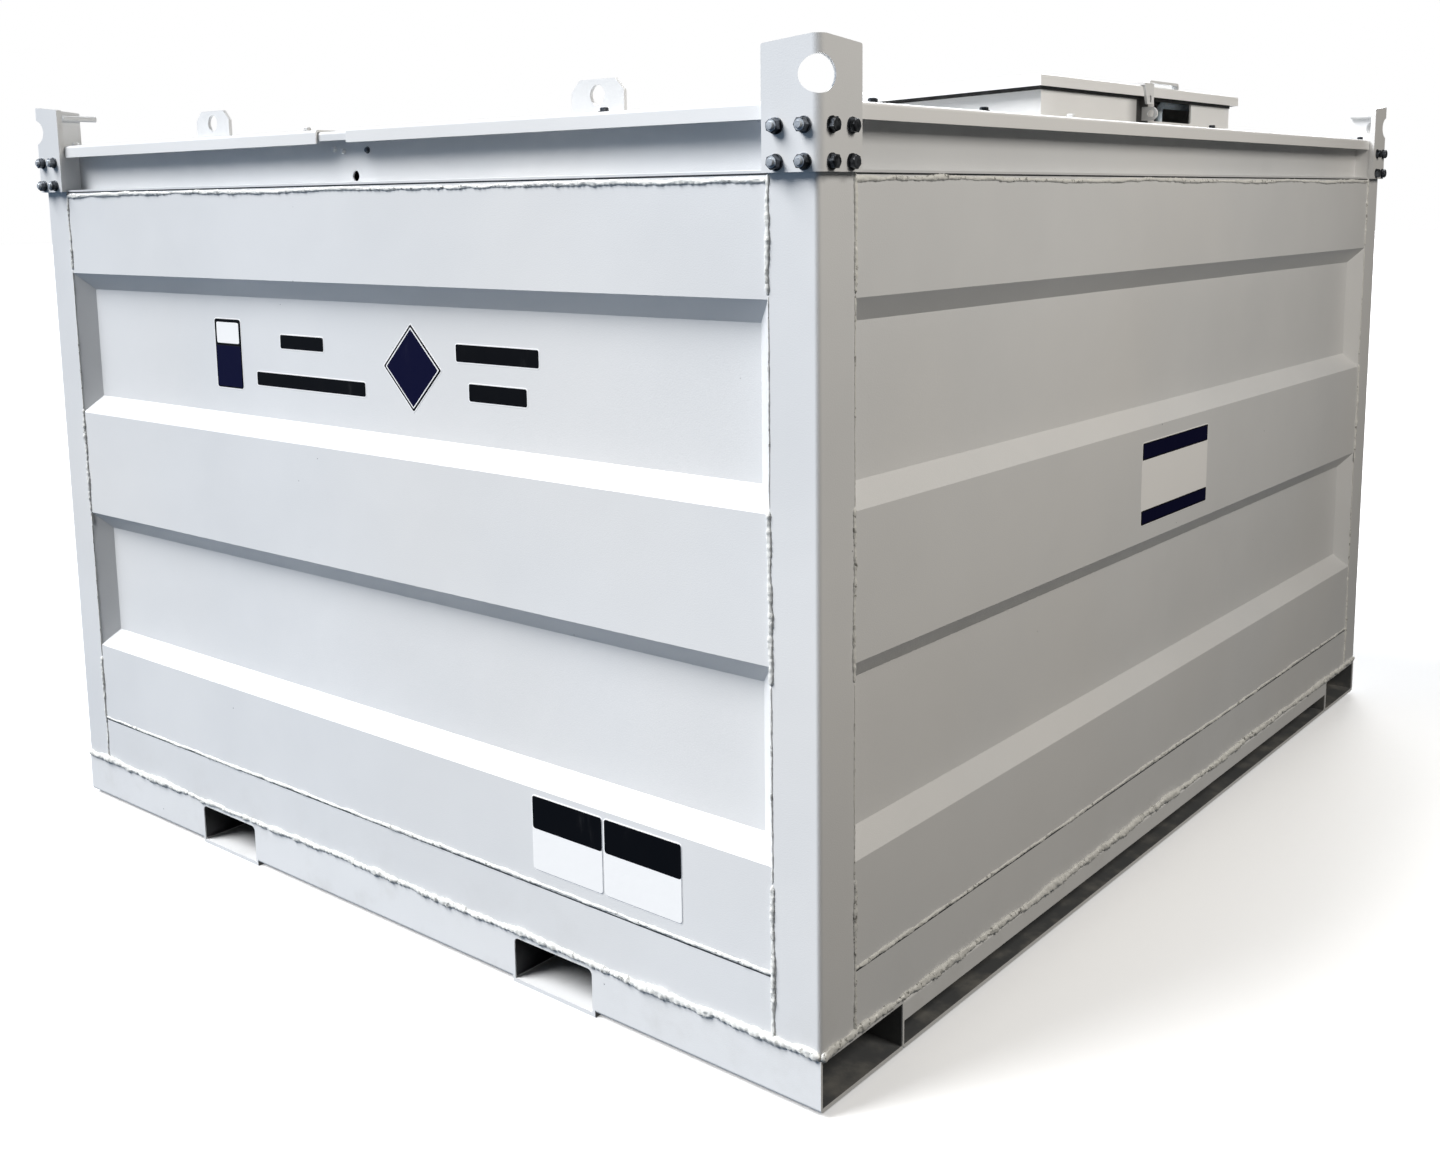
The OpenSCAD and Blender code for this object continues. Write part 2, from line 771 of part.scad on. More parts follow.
base_beam(FRONT);  // front_base_beam
base_beam(BACK);  // back_base_beam
base_channel(RIGHT);  // right_base_channel
base_channel(LEFT);  // left_base_channel
fork_pocket(1);  // right_fork_pocket
fork_pocket(-1);  // left_fork_pocket
floor_pan();
corner_post(0);  // post_front_right
corner_post(1);  // post_back_right
corner_post(2);  // post_back_left
corner_post(3);  // post_front_left
lower_strip(FRONT);  // front_lower_strip
lower_strip(RIGHT);  // right_lower_strip
lower_strip(BACK);  // back_lower_strip
lower_strip(LEFT);  // left_lower_strip
pressed_wall(FRONT);  // front_wall
pressed_wall(RIGHT);  // right_wall
pressed_wall(BACK);  // back_wall
pressed_wall(LEFT);  // left_wall
top_rail(FRONT);  // front_rail
top_rail(RIGHT);  // right_rail
top_rail(BACK);  // back_rail
top_rail(LEFT);  // left_rail
roof_plate();
split_caps(FRONT);  // front_caps
side_cap(RIGHT);  // right_cap
split_caps(BACK);  // back_caps
side_cap(LEFT);  // left_cap
corner_bracket(0);  // bracket_front_right
corner_bracket(1);  // bracket_back_right
corner_bracket(2);  // bracket_back_left
corner_bracket(3);  // bracket_front_left
lifting_lugs(FRONT);  // front_lugs
lifting_lugs(BACK);  // back_lugs
lashing_bars();
hatch_box();
box_hinges();
staple();
delivery_pipe();
fill_cap();
dip_cap();
hatch_lid();
lid_hinges();
lock_strap();
lid_handle();
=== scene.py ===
"""Looks of a bunded diesel fuel tank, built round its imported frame.

Everything is in metres in the frame's own axes: X across the front, Y from the front to the back, Z up,
with the ground at z = 0. A piece on a side is drawn as if on the front and then turned to its side.
"""

import logging
import math
from dataclasses import dataclass, field
from enum import Enum
from typing import Any, Iterable, Mapping, Sequence

import bpy
import numpy as np
from mathutils import Matrix, Vector

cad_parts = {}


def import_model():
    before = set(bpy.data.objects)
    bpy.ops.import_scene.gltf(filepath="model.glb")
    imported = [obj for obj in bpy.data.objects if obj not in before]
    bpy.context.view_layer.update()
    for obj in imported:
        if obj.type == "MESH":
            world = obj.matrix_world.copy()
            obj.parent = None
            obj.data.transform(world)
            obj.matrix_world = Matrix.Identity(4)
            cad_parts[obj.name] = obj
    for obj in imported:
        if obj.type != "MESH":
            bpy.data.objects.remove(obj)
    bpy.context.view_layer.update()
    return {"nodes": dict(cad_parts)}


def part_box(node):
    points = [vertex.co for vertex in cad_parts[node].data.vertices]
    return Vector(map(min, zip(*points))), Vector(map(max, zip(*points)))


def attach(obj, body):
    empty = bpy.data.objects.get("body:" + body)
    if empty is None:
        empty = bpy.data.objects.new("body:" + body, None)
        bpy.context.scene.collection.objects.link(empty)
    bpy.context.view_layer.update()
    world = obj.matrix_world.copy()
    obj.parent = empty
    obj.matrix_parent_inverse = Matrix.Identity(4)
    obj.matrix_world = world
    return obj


logging.basicConfig(level=logging.INFO, format="%(message)s")
LOG = logging.getLogger("tank")

Colour = tuple[float, float, float]
Pair = tuple[float, float]
Point = tuple[float, float, float]


class Side(Enum):
    """The four sides, each with the quarter turns that bring a piece there from the front."""

    FRONT = 0
    RIGHT = 1
    BACK = 2
    LEFT = 3


def each_side(part: str) -> tuple[str, ...]:
    """Returns the names that a part has on the four sides."""
    return tuple(f"{side.name.lower()}_{part}" for side in Side)


class Row(Enum):
    """What the outline of one row of a turned part is."""

    ROUND = 0
    HEX = 1


# Shader maths


class Wire:
    """A number on its way through a shader: an operator on it adds a Math node."""

    def __init__(self, tree: "ShaderTree", socket: Any) -> None:
        """Wraps one output socket.

        Args:
            tree: The nodes that it belongs to.
            socket: The output that carries the number.
        """
        self.tree = tree
        self.socket = socket

    def _math(self, operation: str, *values: Any) -> "Wire":
        """Adds one Math node on the values given, in their order."""
        return self.tree.node("ShaderNodeMath", {"operation": operation}, dict(enumerate(values)))

    def __add__(self, other: Any) -> "Wire":
        """Returns the sum."""
        return self._math("ADD", self, other)

    __radd__ = __add__

    def __mul__(self, other: Any) -> "Wire":
        """Returns the product."""
        return self._math("MULTIPLY", self, other)

    __rmul__ = __mul__

    def __sub__(self, other: Any) -> "Wire":
        """Returns this number less the other."""
        return self._math("SUBTRACT", self, other)

    def __rsub__(self, other: Any) -> "Wire":
        """Returns the other number less this one."""
        return self._math("SUBTRACT", other, self)

    def __abs__(self) -> "Wire":
        """Returns the number without its sign."""
        return self._math("ABSOLUTE", self)

    def most(self, other: Any) -> "Wire":
        """Returns the larger of the two."""
        return self._math("MAXIMUM", self, other)

    def step(self, low: float, high: float) -> "Wire":
        """Returns 0 below low, 1 above high and a smooth rise between them; low may be the larger."""
        return self.tree.node(
            "ShaderNodeMapRange",
            {"interpolation_type": "SMOOTHSTEP"},
            {"Value": self, "From Min": low, "From Max": high, "To Min": 0.0, "To Max": 1.0},
        )


class ShaderTree:
    """The nodes of a material or a world, with a single method that adds any of them."""

    def __init__(self, owner: Any) -> None:
        """Empties the nodes of a new material or world."""
        self.owner = owner
        owner.use_nodes = True
        self.tree = owner.node_tree
        self.tree.nodes.clear()

    def node(
        self,
        kind: str,
        settings: Mapping[str, Any] | None = None,
        inputs: Mapping[Any, Any] | None = None,
        output: int | str = 0,
    ) -> Wire:
        """Adds a node.

        Args:
            kind: The node's type.
            settings: Its settings, which are set before its sockets.
            inputs: Values or wires by the socket's name or number.
            output: Which output the wire carries.

        Returns:
            A wire on that output.
        """
        made = self.tree.nodes.new(kind)
        for name, value in (settings or {}).items():
            setattr(made, name, value)
        for name, value in (inputs or {}).items():
            if isinstance(value, Wire):
                self.tree.links.new(value.socket, made.inputs[name])
            elif isinstance(value, tuple) and len(value) == 3 and made.inputs[name].type == "RGBA":
                made.inputs[name].default_value = (*value, 1.0)
            else:
                made.inputs[name].default_value = value
        return Wire(self, made.outputs[output])

    def place(self) -> Wire:
        """Returns the place on the object, in metres."""
        return self.node("ShaderNodeTexCoord", output="Object")

    def facing_up(self) -> Wire:
        """Returns how far the piece's own surface faces up, from 1 for level to 0 for upright."""
        return self.axis(self.node("ShaderNodeTexCoord", output="Normal"), "Z")

    def axis(self, place: Wire, axis: str) -> Wire:
        """Returns one coordinate of a place: X, Y or Z."""
        return self.node("ShaderNodeSeparateXYZ", inputs={"Vector": place}, output=axis)

    def scaled(self, place: Wire, scale: Point) -> Wire:
        """Returns the place stretched by a factor along each axis."""
        return self.node("ShaderNodeMapping", inputs={"Vector": place, "Scale": scale})

    def noise(self, place: Wire, scale: float, detail: float = 3.0, rough: float = 0.5) -> Wire:
        """Returns fractal noise, about 0.5 on average.

        Args:
            place: Where it is read.
            scale: Its cells a metre.
            detail: Its octaves.
            rough: The weight of the finer ones.
        """
        sockets = {"Vector": place, "Scale": scale, "Detail": detail, "Roughness": rough}
        return self.node("ShaderNodeTexNoise", inputs=sockets)

    def cells(self, place: Wire, scale: float) -> Wire:
        """Returns the distance to the nearest of scattered points, with scale cells a metre."""
        sockets = {"Vector": place, "Scale": scale}
        return self.node("ShaderNodeTexVoronoi", inputs=sockets, output="Distance")

    def mix(self, share: Wire, first: Any, second: Any) -> Wire:
        """Returns a colour that goes from the first to the second as the share rises."""
        sockets = {0: share, 6: first, 7: second}
        return self.node("ShaderNodeMix", {"data_type": "RGBA"}, sockets, output=2)

    def bump(self, height: Wire, depth: float, normal: Wire | None = None) -> Wire:
        """Returns a normal bent by a height of up to depth metres.

        Args:
            height: The relief, from 0 to 1.
            depth: How high 1 stands, in metres.
            normal: The normal of a coarser relief under it.
        """
        sockets = {"Height": height, "Distance": depth, "Strength": 1.0}
        if normal is not None:
            sockets["Normal"] = normal
        return self.node("ShaderNodeBump", inputs=sockets)

    def between(self, share: Wire, span: Pair) -> Wire:
        """Returns the number that goes from the span's start to its end as the share rises."""
        return share * (span[1] - span[0]) + span[0]

    def close(self, surface: Wire, kind: str) -> Any:
        """Ends in an output node of that kind, and returns the material or world."""
        end = self.tree.nodes.new(kind)
        self.tree.links.new(surface.socket, end.inputs["Surface"])
        return self.owner

    def finish(self, sockets: Mapping[str, Any]) -> bpy.types.Material:
        """Closes the material with a Principled surface, which has the sockets given."""
        surface = self.node("ShaderNodeBsdfPrincipled", inputs=sockets)
        return self.close(surface, "ShaderNodeOutputMaterial")


# Finishes


@dataclass(frozen=True)
class WhitePaint:
    """Sprayed white paint on sheet steel: soft mottling, orange peel, dust low down and a few chips, and,
    where a joint is given, a dark line of painted shade at it.
    """

    name: str
    light: Colour = (0.800, 0.812, 0.826)
    dark: Colour = (0.752, 0.766, 0.782)
    dust: Colour = (0.56, 0.55, 0.52)
    chip: Colour = (0.16, 0.17, 0.19)
    roughness: Pair = (0.30, 0.44)
    peel: float = 0.00022
    ripple: float = 0.0
    dust_top: float = 0.26
    # Dark line at a joint: painted shade under the ledge's edge.
    joint_z: float | None = None
    joint_t: float = 0.0040
    joint_shade_edge: float = 0.0003
    roof_z: float = 1.552
    roof_edge: float = 0.004
    roof_dirt: tuple[Colour, Colour] = ((0.38, 0.38, 0.37), (0.60, 0.61, 0.61))
    # Dark colours of the joint line: painted shade.
    inside: tuple[Colour, Colour] = ((0.016, 0.018, 0.022), (0.060, 0.064, 0.070))
    tint: Colour = (0.800, 0.790, 0.775)

    def build(self) -> bpy.types.Material:
        """Returns the material."""
        tree = ShaderTree(bpy.data.materials.new(self.name))
        place = tree.place()
        mottle = tree.noise(place, 2.2, 4.0, 0.55)
        fine = tree.noise(place, 38.0, 3.0)
        low = tree.axis(place, "Z").step(self.dust_top, 0.0)
        dust = low * tree.noise(place, 9.0, 4.0, 0.65).step(0.46, 0.80) * 0.30
        specks = tree.cells(place, 26.0).step(0.040, 0.028) * tree.noise(place, 5.0).step(0.60, 0.66)
        colour = tree.mix(mottle.step(0.30, 0.70), self.light, self.dark)
        colour = tree.mix(tree.noise(place, 0.9, 2.0).step(0.40, 0.75) * 0.6, colour, self.tint)
        colour = tree.mix(dust, colour, self.dust)
        level = tree.facing_up().step(0.90, 0.98)
        level = level * tree.axis(place, "Z").step(self.roof_z - self.roof_edge, self.roof_z)
        puddles = tree.noise(place, 1.6, 4.0, 0.6).step(0.40, 0.66) * 0.6
        puddles = puddles + tree.noise(place, 11.0, 4.0, 0.6) * 0.4
        colour = tree.mix(level, colour, tree.mix(puddles, *self.roof_dirt))
        colour = tree.mix(specks, colour, self.chip)
        # Painted shade from the subclasses' masks: dark lines at joints, the insides of the base and fork
        # pockets, and beside the hatch's staple; on the beads the same mix gives real dark flecks.
        shade = self.shade(tree, place)
        if shade is not None:
            shade_and_fleck_colour = tree.mix(tree.noise(place, 14.0, 4.0, 0.6).step(0.42, 0.75), *self.inside)
            colour = tree.mix(shade, colour, shade_and_fleck_colour)
        roughness = tree.between(fine * 0.6 + mottle * 0.4, self.roughness) + dust * 0.4
        normal = tree.bump(tree.noise(place, 3.4, 2.0), 0.0022)
        normal = tree.bump(tree.noise(place, 420.0, 2.0, 0.5), self.peel, normal)
        if self.ripple > 0:
            normal = tree.bump(tree.noise(place, 130.0, 3.0, 0.6), self.ripple, normal)
        normal = tree.bump(1.0 - specks, 0.0003, normal)
        return tree.finish({
            "Base Color": colour, "Roughness": roughness, "Normal": normal,
            "Specular IOR Level": 0.5, "Coat Weight": 0.12, "Coat Roughness": 0.22,
        })

    def shade(self, tree: ShaderTree, place: Wire) -> Wire | None:
        """Returns 1 where the dark colour shows: a level line at the joint, painted shade under the ledge's
        edge above it, or None without one.
        """
        if self.joint_z is None:
            return None
        away = abs(tree.axis(place, "Z") - self.joint_z)
        return away.step(self.joint_t / 2 + self.joint_shade_edge, self.joint_t / 2 - self.joint_shade_edge)


@dataclass(frozen=True)
class BasePaint(WhitePaint):
    """White paint on the outer faces of the base, lightened to stand in for light bounced up from the
    floor, and painted shade on the faces inside it.
    """

    half: Pair = (1.0, 1.0)
    floor_z: float = 0.1
    skin: float = 0.0025
    soft: float = 0.0004
    # Lighter than the walls' white: painted light standing in for light bounced up from the floor.
    light: Colour = (0.870, 0.880, 0.890)
    dark: Colour = (0.825, 0.837, 0.850)
    # Dark colours inside the base: painted shade.
    inside: tuple[Colour, Colour] = ((0.11, 0.115, 0.12), (0.24, 0.235, 0.22))

    def shade(self, tree: ShaderTree, place: Wire) -> Wire | None:
        """Returns 1 where the painted shade goes: behind the outer skin of all four sides and below the
        tank's floor.
        """
        inner = [edge - self.skin for edge in self.half]
        inside_x = abs(tree.axis(place, "X")).step(inner[0] + self.soft, inner[0] - self.soft)
        inside_y = abs(tree.axis(place, "Y")).step(inner[1] + self.soft, inner[1] - self.soft)
        return inside_x * inside_y * tree.axis(place, "Z").step(self.floor_z, self.floor_z - 0.001)


@dataclass(frozen=True)
class PocketPaint(BasePaint):
    """White paint on the plate under a fork pocket near its mouths, and painted shade further in."""

    plate_z: float = 0.008
    reach: float = 0.22
    # Near-black: painted shade deep in the pocket.
    inside: tuple[Colour, Colour] = ((0.002, 0.002, 0.004), (0.010, 0.010, 0.012))

    def shade(self, tree: ShaderTree, place: Wire) -> Wire | None:
        """Returns 1 where the painted shade goes: on the pocket's walls, and on its bottom plate a rise
        from the mouth inwards.
        """
        along = abs(tree.axis(place, "Y"))
        mouth = self.half[1] - self.skin
        walls = along.step(mouth + self.soft, mouth - self.soft)
        walls = walls * tree.axis(place, "Z").step(self.plate_z + 0.001, self.plate_z + 0.004)
        return walls.most(along.step(mouth, mouth - self.reach))


@dataclass(frozen=True)
class BeadPaint(WhitePaint):
    """White paint laid thickly over rough weld beads, with dark flecks where it missed the gaps."""

    light: Colour = (0.880, 0.885, 0.850)
    dark: Colour = (0.815, 0.820, 0.790)
    roughness: Pair = (0.24, 0.36)
    ripple: float = 0.0012
    inside: tuple[Colour, Colour] = ((0.10, 0.10, 0.09), (0.34, 0.34, 0.31))

    def shade(self, tree: ShaderTree, place: Wire) -> Wire | None:
        """Returns small flecks, which come in patches."""
        patches = tree.noise(place, 7.0, 2.0).step(0.36, 0.62)
        return tree.noise(place, 95.0, 4.0, 0.7).step(0.545, 0.62) * patches * 0.85


@dataclass(frozen=True)
class HatchPaint(WhitePaint):
    """White paint on the hatch box, lightened to stand in for light bounced onto it, with a soft painted
    shadow round the staple.
    """

    # Lighter than the walls' white: painted light standing in for light bounced onto the box.
    light: Colour = (0.885, 0.890, 0.895)
    dark: Colour = (0.850, 0.858, 0.865)
    shade_spot: Point = (1.0, 0.0, 1.6)
    reach: float = 0.085
    core: float = 0.027
    inside: tuple[Colour, Colour] = ((0.012, 0.012, 0.012), (0.035, 0.035, 0.034))

    def shade(self, tree: ShaderTree, place: Wire) -> Wire | None:
        """Returns a soft rise towards the painted shadow's middle and a dark core, on the outer face only.
        """
        face = tree.axis(place, "X").step(self.shade_spot[0] - 0.004, self.shade_spot[0] - 0.002)
        away = abs(tree.axis(place, "Y") - self.shade_spot[1])
        halo = away.step(self.reach, self.core) * 0.5
        core = away.step(self.core + 0.004, self.core) * 0.5
        return (halo + core) * face


@dataclass(frozen=True)
class DullSteel:
    """Zinc-plated steel, dull and blotched, with darker stains."""

    name: str
    light: Colour = (0.42, 0.46, 0.50)
    dark: Colour = (0.20, 0.23, 0.26)
    roughness: Pair = (0.32, 0.55)
    metallic: float = 0.85

    def build(self) -> bpy.types.Material:
        """Returns the material."""
        tree = ShaderTree(bpy.data.materials.new(self.name))
        place = tree.place()
        blotch = tree.noise(place, 55.0, 4.0, 0.6)
        grain = tree.noise(place, 900.0, 2.0)
        colour = tree.mix(blotch.step(0.35, 0.68), self.dark, self.light)
        normal = tree.bump(tree.noise(place, 600.0, 3.0), 0.00012)
        return tree.finish({
            "Base Color": colour, "Roughness": tree.between(grain, self.roughness),
            "Metallic": self.metallic, "Normal": normal,
        })


@dataclass(frozen=True)
class PlainFilm:
    """Blank printed film of one colour, faintly scuffed."""

    name: str
    colour: Colour
    gloss: float = 0.12
    worn: Colour = (0.50, 0.51, 0.53)
    roughness: Pair = (0.40, 0.60)

    def build(self) -> bpy.types.Material:
        """Returns the material."""
        tree = ShaderTree(bpy.data.materials.new(self.name))
        place = tree.place()
        scuff = tree.noise(tree.scaled(place, (30.0, 30.0, 9.0)), 1.0, 5.0, 0.65)
        colour = tree.mix(scuff.step(0.60, 0.90) * 0.05, self.colour, self.worn)
        normal = tree.bump(tree.noise(place, 60.0, 2.0), 0.0002)
        return tree.finish({
            "Base Color": colour, "Roughness": tree.between(scuff, self.roughness),
            "Specular IOR Level": self.gloss, "Normal": normal,
        })


@dataclass(frozen=True)
class StudioFloor:
    """Plain pale floor, with hardly any pattern."""

    name: str = "studio_floor"
    light: Colour = (0.86, 0.86, 0.86)
    dark: Colour = (0.83, 0.83, 0.83)
    roughness: float = 0.7
    glow: float = 0.32

    def build(self) -> bpy.types.Material:
        """Returns the material."""
        tree = ShaderTree(bpy.data.materials.new(self.name))
        patches = tree.noise(tree.place(), 0.4, 2.0)
        colour = tree.mix(patches, self.light, self.dark)
        return tree.finish({
            "Base Color": colour, "Roughness": self.roughness,
            "Emission Color": (1.0, 1.0, 1.0), "Emission Strength": self.glow,
        })


# Meshes


def add_object(name: str, data: Any) -> bpy.types.Object:
    """Returns a new object on the data given, linked to the scene."""
    made = bpy.data.objects.new(name, data)
    bpy.context.scene.collection.objects.link(made)
    return made


class MeshBatch:
    """Closed surfaces gathered into one mesh."""

    def __init__(self) -> None:
        """Starts empty."""
        self.points: list[np.ndarray] = []
        self.quads: list[np.ndarray] = []
        self.tris: list[np.ndarray] = []
        self.finishes: list[int] = []
        self.count = 0

    def tube(self, rings: np.ndarray, finish: int = 0) -> None:
        """Adds a tube through rings of points, closed by a fan at each end.

        Quad (i, j) joins ring i to ring i + 1 at the places j and j + 1, which wrap round. The faces are
        turned outwards by the sign of the volume that they enclose.

        Args:
            rings: Array of shape (rings, places round a ring, 3).
            finish: Number of its material.
        """
        n, k = rings.shape[:2]
        ends = np.stack([rings[0].mean(axis=0), rings[-1].mean(axis=0)])
        points = np.concatenate([rings.reshape(-1, 3), ends])
        i, j = np.meshgrid(np.arange(n - 1), np.arange(k), indexing="ij")
        after = (j + 1) % k
        quads = np.stack([i * k + j, i * k + after, (i + 1) * k + after, (i + 1) * k + j], axis=-1)
        quads = quads.reshape(-1, 4)
        round_j = np.arange(k)
        round_after = (round_j + 1) % k
        first = np.stack([np.full(k, n * k), round_after, round_j], axis=-1)
        last = np.stack([np.full(k, n * k + 1), (n - 1) * k + round_j, (n - 1) * k + round_after], axis=-1)
        tris = np.concatenate([first, last])
        every = np.concatenate([quads[:, [0, 1, 2]], quads[:, [0, 2, 3]], tris])
        a, b, c = (points[every[:, m]] for m in range(3))
        if np.einsum("ij,ij->i", a, np.cross(b, c)).sum() < 0:
            quads = quads[:, ::-1]
            tris = tris[:, ::-1]
        self.points.append(points)
        self.quads.append(quads + self.count)
        self.tris.append(tris + self.count)
        self.finishes.append(finish)
        self.count += len(points)

    def build(self, name: str, *materials: bpy.types.Material, smooth: bool = True) -> bpy.types.Object:
        """Makes the object.

        Args:
            name: The object's name.
            materials: Its materials, in the order of their numbers.
            smooth: Whether its faces are shaded smooth.

        Returns:
            The object, linked to the scene.
        """
        mesh = bpy.data.meshes.new(name)
        faces = [tuple(f) for part in self.quads + self.tris for f in part.tolist()]
        mesh.from_pydata(np.concatenate(self.points).tolist(), [], faces)
        mesh.polygons.foreach_set("use_smooth", np.full(len(mesh.polygons), smooth))
        numbers = [np.full(len(part), number) for part, number in zip(self.quads, self.finishes)]
        numbers += [np.full(len(part), number) for part, number in zip(self.tris, self.finishes)]
        mesh.polygons.foreach_set("material_index", np.concatenate(numbers))
        for material in materials:
            mesh.materials.append(material)
        mesh.update()
        return add_object(name, mesh)


def wander(rng: np.random.Generator, s: np.ndarray, step: float) -> np.ndarray:
    """Smooth noise along a path: random knots a step apart, joined by a cosine between neighbours.

    Args:
        rng: The seeded source of the knots.
        s: Distances along the path, in metres.
        step: Distance between knots.

    Returns:
        Values from -1 to 1, one for each distance.
    """
    knots = rng.uniform(-1.0, 1.0, int(np.max(s) / step) + 3)
    where = s / step
    low = np.floor(where).astype(int)
    share = (1.0 - np.cos((where - low) * math.pi)) / 2.0
    return knots[low] * (1.0 - share) + knots[low + 1] * share


@dataclass(frozen=True)
class TankBox:
    """The sizes of the tank's sides, read from the frame."""

    half: Pair
    post_edge: Pair
    base_z: float
    seam_z: float
    wall_top_z: float
    sheet: float = 0.004

    @classmethod
    def from_frame(cls) -> "TankBox":
        """Reads the sizes from the front and right walls and the front strip."""
        strip_low, strip_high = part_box("front_lower_strip")
        wall_low, wall_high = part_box("front_wall")
        side_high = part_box("right_wall")[1]
        return cls(
            half=(side_high.x, -wall_low.y),
            post_edge=(wall_high.x, side_high.y),
            base_z=strip_low.z,
            seam_z=strip_high.z,
            wall_top_z=wall_high.z,
        )

    def half_length(self, side: Side) -> float:
        """Returns half of a side's length."""
        return self.half[side.value % 2]

    def half_wall(self, side: Side) -> float:
        """Returns the distance from a side's middle to the edge of its posts."""
        return self.post_edge[side.value % 2]

    def out(self, side: Side) -> float:
        """Returns a side's distance from the tank's middle."""
        return self.half[1 - side.value % 2]

    def turn(self, points: np.ndarray, side: Side) -> np.ndarray:
        """Turns points drawn on the front, with y measured outwards from the wall face, to a side.

        Args:
            points: Array that ends in (along, outwards, up).
            side: Where they go.

        Returns:
            The points in the frame's axes.
        """
        along, outwards, up = points[..., 0], points[..., 1], points[..., 2]
        x, y = along, -(self.out(side) + outwards)
        angle = side.value * math.pi / 2
        cos, sin = round(math.cos(angle)), round(math.sin(angle))
        return np.stack([x * cos - y * sin, x * sin + y * cos, up], axis=-1)


@dataclass
class WeldBeads:
    """Painted weld beads along the seams of the shell, lumpy and uneven."""

    tank: TankBox
    paint: bpy.types.Material
    half_width: float = 0.0044
    height: float = 0.0030
    buried: float = 0.0012
    ring_step: float = 0.0032
    puddle: float = 0.012
    places: int = 13
    low_flat: float = 0.150
    top_flat: float = 0.178
    pan: float = 0.322
    foot_rise: float = 0.0058
    top_drop: float = 0.0085
    foot_size: float = 1.65
    seam_size: float = 0.80
    edge_size: float = 0.95
    pan_size: float = 0.38
    seed: int = 7
    rng: np.random.Generator = field(init=False)

    def __post_init__(self) -> None:
        """Seeds the random draws."""
        self.rng = np.random.default_rng(self.seed)

    def bead(self, start: Point, end: Point, size: float = 1.0) -> np.ndarray:
        """One bead on the front, as rings along its seam.

        A ring is the curve (w cos a across, h sin a outwards), with its inner half pressed flat into the
        sheet. The width w, the height h and the bead's middle wander along the seam. Each puddle swells
        them by a share of the rectified sine of the distance, spatter knots raise single points of the
        outer half, and both ends taper by the square root of the distance from the end.

        Args:
            start: First end of the seam, as along, outwards and up.
            end: Its other end.
            size: Factor on the bead's width and height.

        Returns:
            Array of shape (rings, places, 3) in the front's own axes.
        """
        a, b = np.array(start), np.array(end)
        length = float(np.linalg.norm(b - a))
        t = (b - a) / length
        across = np.cross(t, (0.0, 1.0, 0.0))
        s = np.linspace(0.0, length, max(int(length / self.ring_step), 4))
        swell = np.abs(np.sin(math.pi * (s / self.puddle + 0.6 * wander(self.rng, s, 0.12))))
        lumps = wander(self.rng, s, 0.014)
        runs = wander(self.rng, s, 0.11)
        width = self.half_width * size * (0.80 + 0.22 * swell + 0.26 * lumps + 0.30 * runs)
        height = self.height * size * (0.75 + 0.40 * swell + 0.30 * lumps + 0.30 * runs)
        shift = 0.30 * wander(self.rng, s, 0.035) + 0.45 * wander(self.rng, s, 0.26)
        middle = self.half_width * size * shift
        taper = np.sqrt(np.clip(np.minimum(s, length - s) / 0.006, 0.02, 1.0))
        angle = np.linspace(0.0, 2 * math.pi, self.places, endpoint=False)
        side = (width * taper)[:, None] * np.cos(angle) + middle[:, None]
        knots = np.stack([wander(self.rng, s, 0.008) for _ in angle], axis=-1)
        rise = (height * taper)[:, None] * (1 + 0.38 * knots)
        up = np.where(np.sin(angle) > 0.01, rise, self.buried) * np.sin(angle)
        line = a + s[:, None] * t
        return line[:, None, :] + side[..., None] * across + up[..., None] * np.array((0.0, 1.0, 0.0))

    def seams(self, side: Side) -> list[tuple[Point, Point, float]]:
        """Returns the seams of a side, each with its two ends and its size."""
        tank = self.tank
        full, wall = tank.half_length(side), tank.half_wall(side)
        foot, top = tank.base_z + self.foot_rise, tank.wall_top_z - self.top_drop
        seams = [
            ((-full, 0.0, foot), (full, 0.0, foot), self.foot_size),
            ((-wall, 0.0, tank.seam_z), (wall, 0.0, tank.seam_z), self.seam_size),
            ((-wall, 0.0, top), (wall, 0.0, top), self.edge_size),
        ]
        low_flat, top_flat = tank.seam_z + self.low_flat, tank.wall_top_z - self.top_flat
        pans = (low_flat, low_flat + self.pan, top_flat - self.pan, top_flat)
        steps = (tank.base_z, *pans, tank.wall_top_z)
        sizes = (self.edge_size, self.pan_size, self.edge_size, self.pan_size, self.edge_size)
        for edge in (-wall, wall):
            for low, high, size in zip(steps, steps[1:], sizes):
                seams.append(((edge, 0.0, low), (edge, 0.0, high), size))
        return seams

    def build(self) -> list[bpy.types.Object]:
        """Returns one piece for each side."""
        made = []
        for side in Side:
            batch = MeshBatch()
            for start, end, size in self.seams(side):
                batch.tube(self.tank.turn(self.bead(start, end, size), side))
            piece = batch.build(f"{side.name.lower()}_weld_beads", self.paint)
            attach(piece, "tank")
            made.append(piece)
        return made


@dataclass(frozen=True)
class TurnedPart:
    """A small turned part: rows of outline, radius or half width across flats, and height, base first."""

    rows: tuple[tuple[Row, float, float], ...]
    places: int = 36

    def rings(self, spin: float = 0.0) -> np.ndarray:
        """The part on the plane z = 0, as rings.

        A round row has the radius r. A six-sided row has r / cos(a'), where a' is the angle from the
        middle of the nearest flat.

        Args:
            spin: Turn about its own axis, in radians.

        Returns:
            Array of shape (rows, places, 3).
        """
        angle = np.linspace(0.0, 2 * math.pi, self.places, endpoint=False)
        flat = (angle + math.pi / 6) % (math.pi / 3) - math.pi / 6
        outline = {Row.ROUND: np.ones_like(angle), Row.HEX: 1.0 / np.cos(flat)}
        rings = []
        for kind, radius, height in self.rows:
            r = radius * outline[kind]
            x, y = r * np.cos(angle + spin), r * np.sin(angle + spin)
            rings.append(np.stack([x, y, np.full_like(r, height)], -1))
        return np.array(rings)


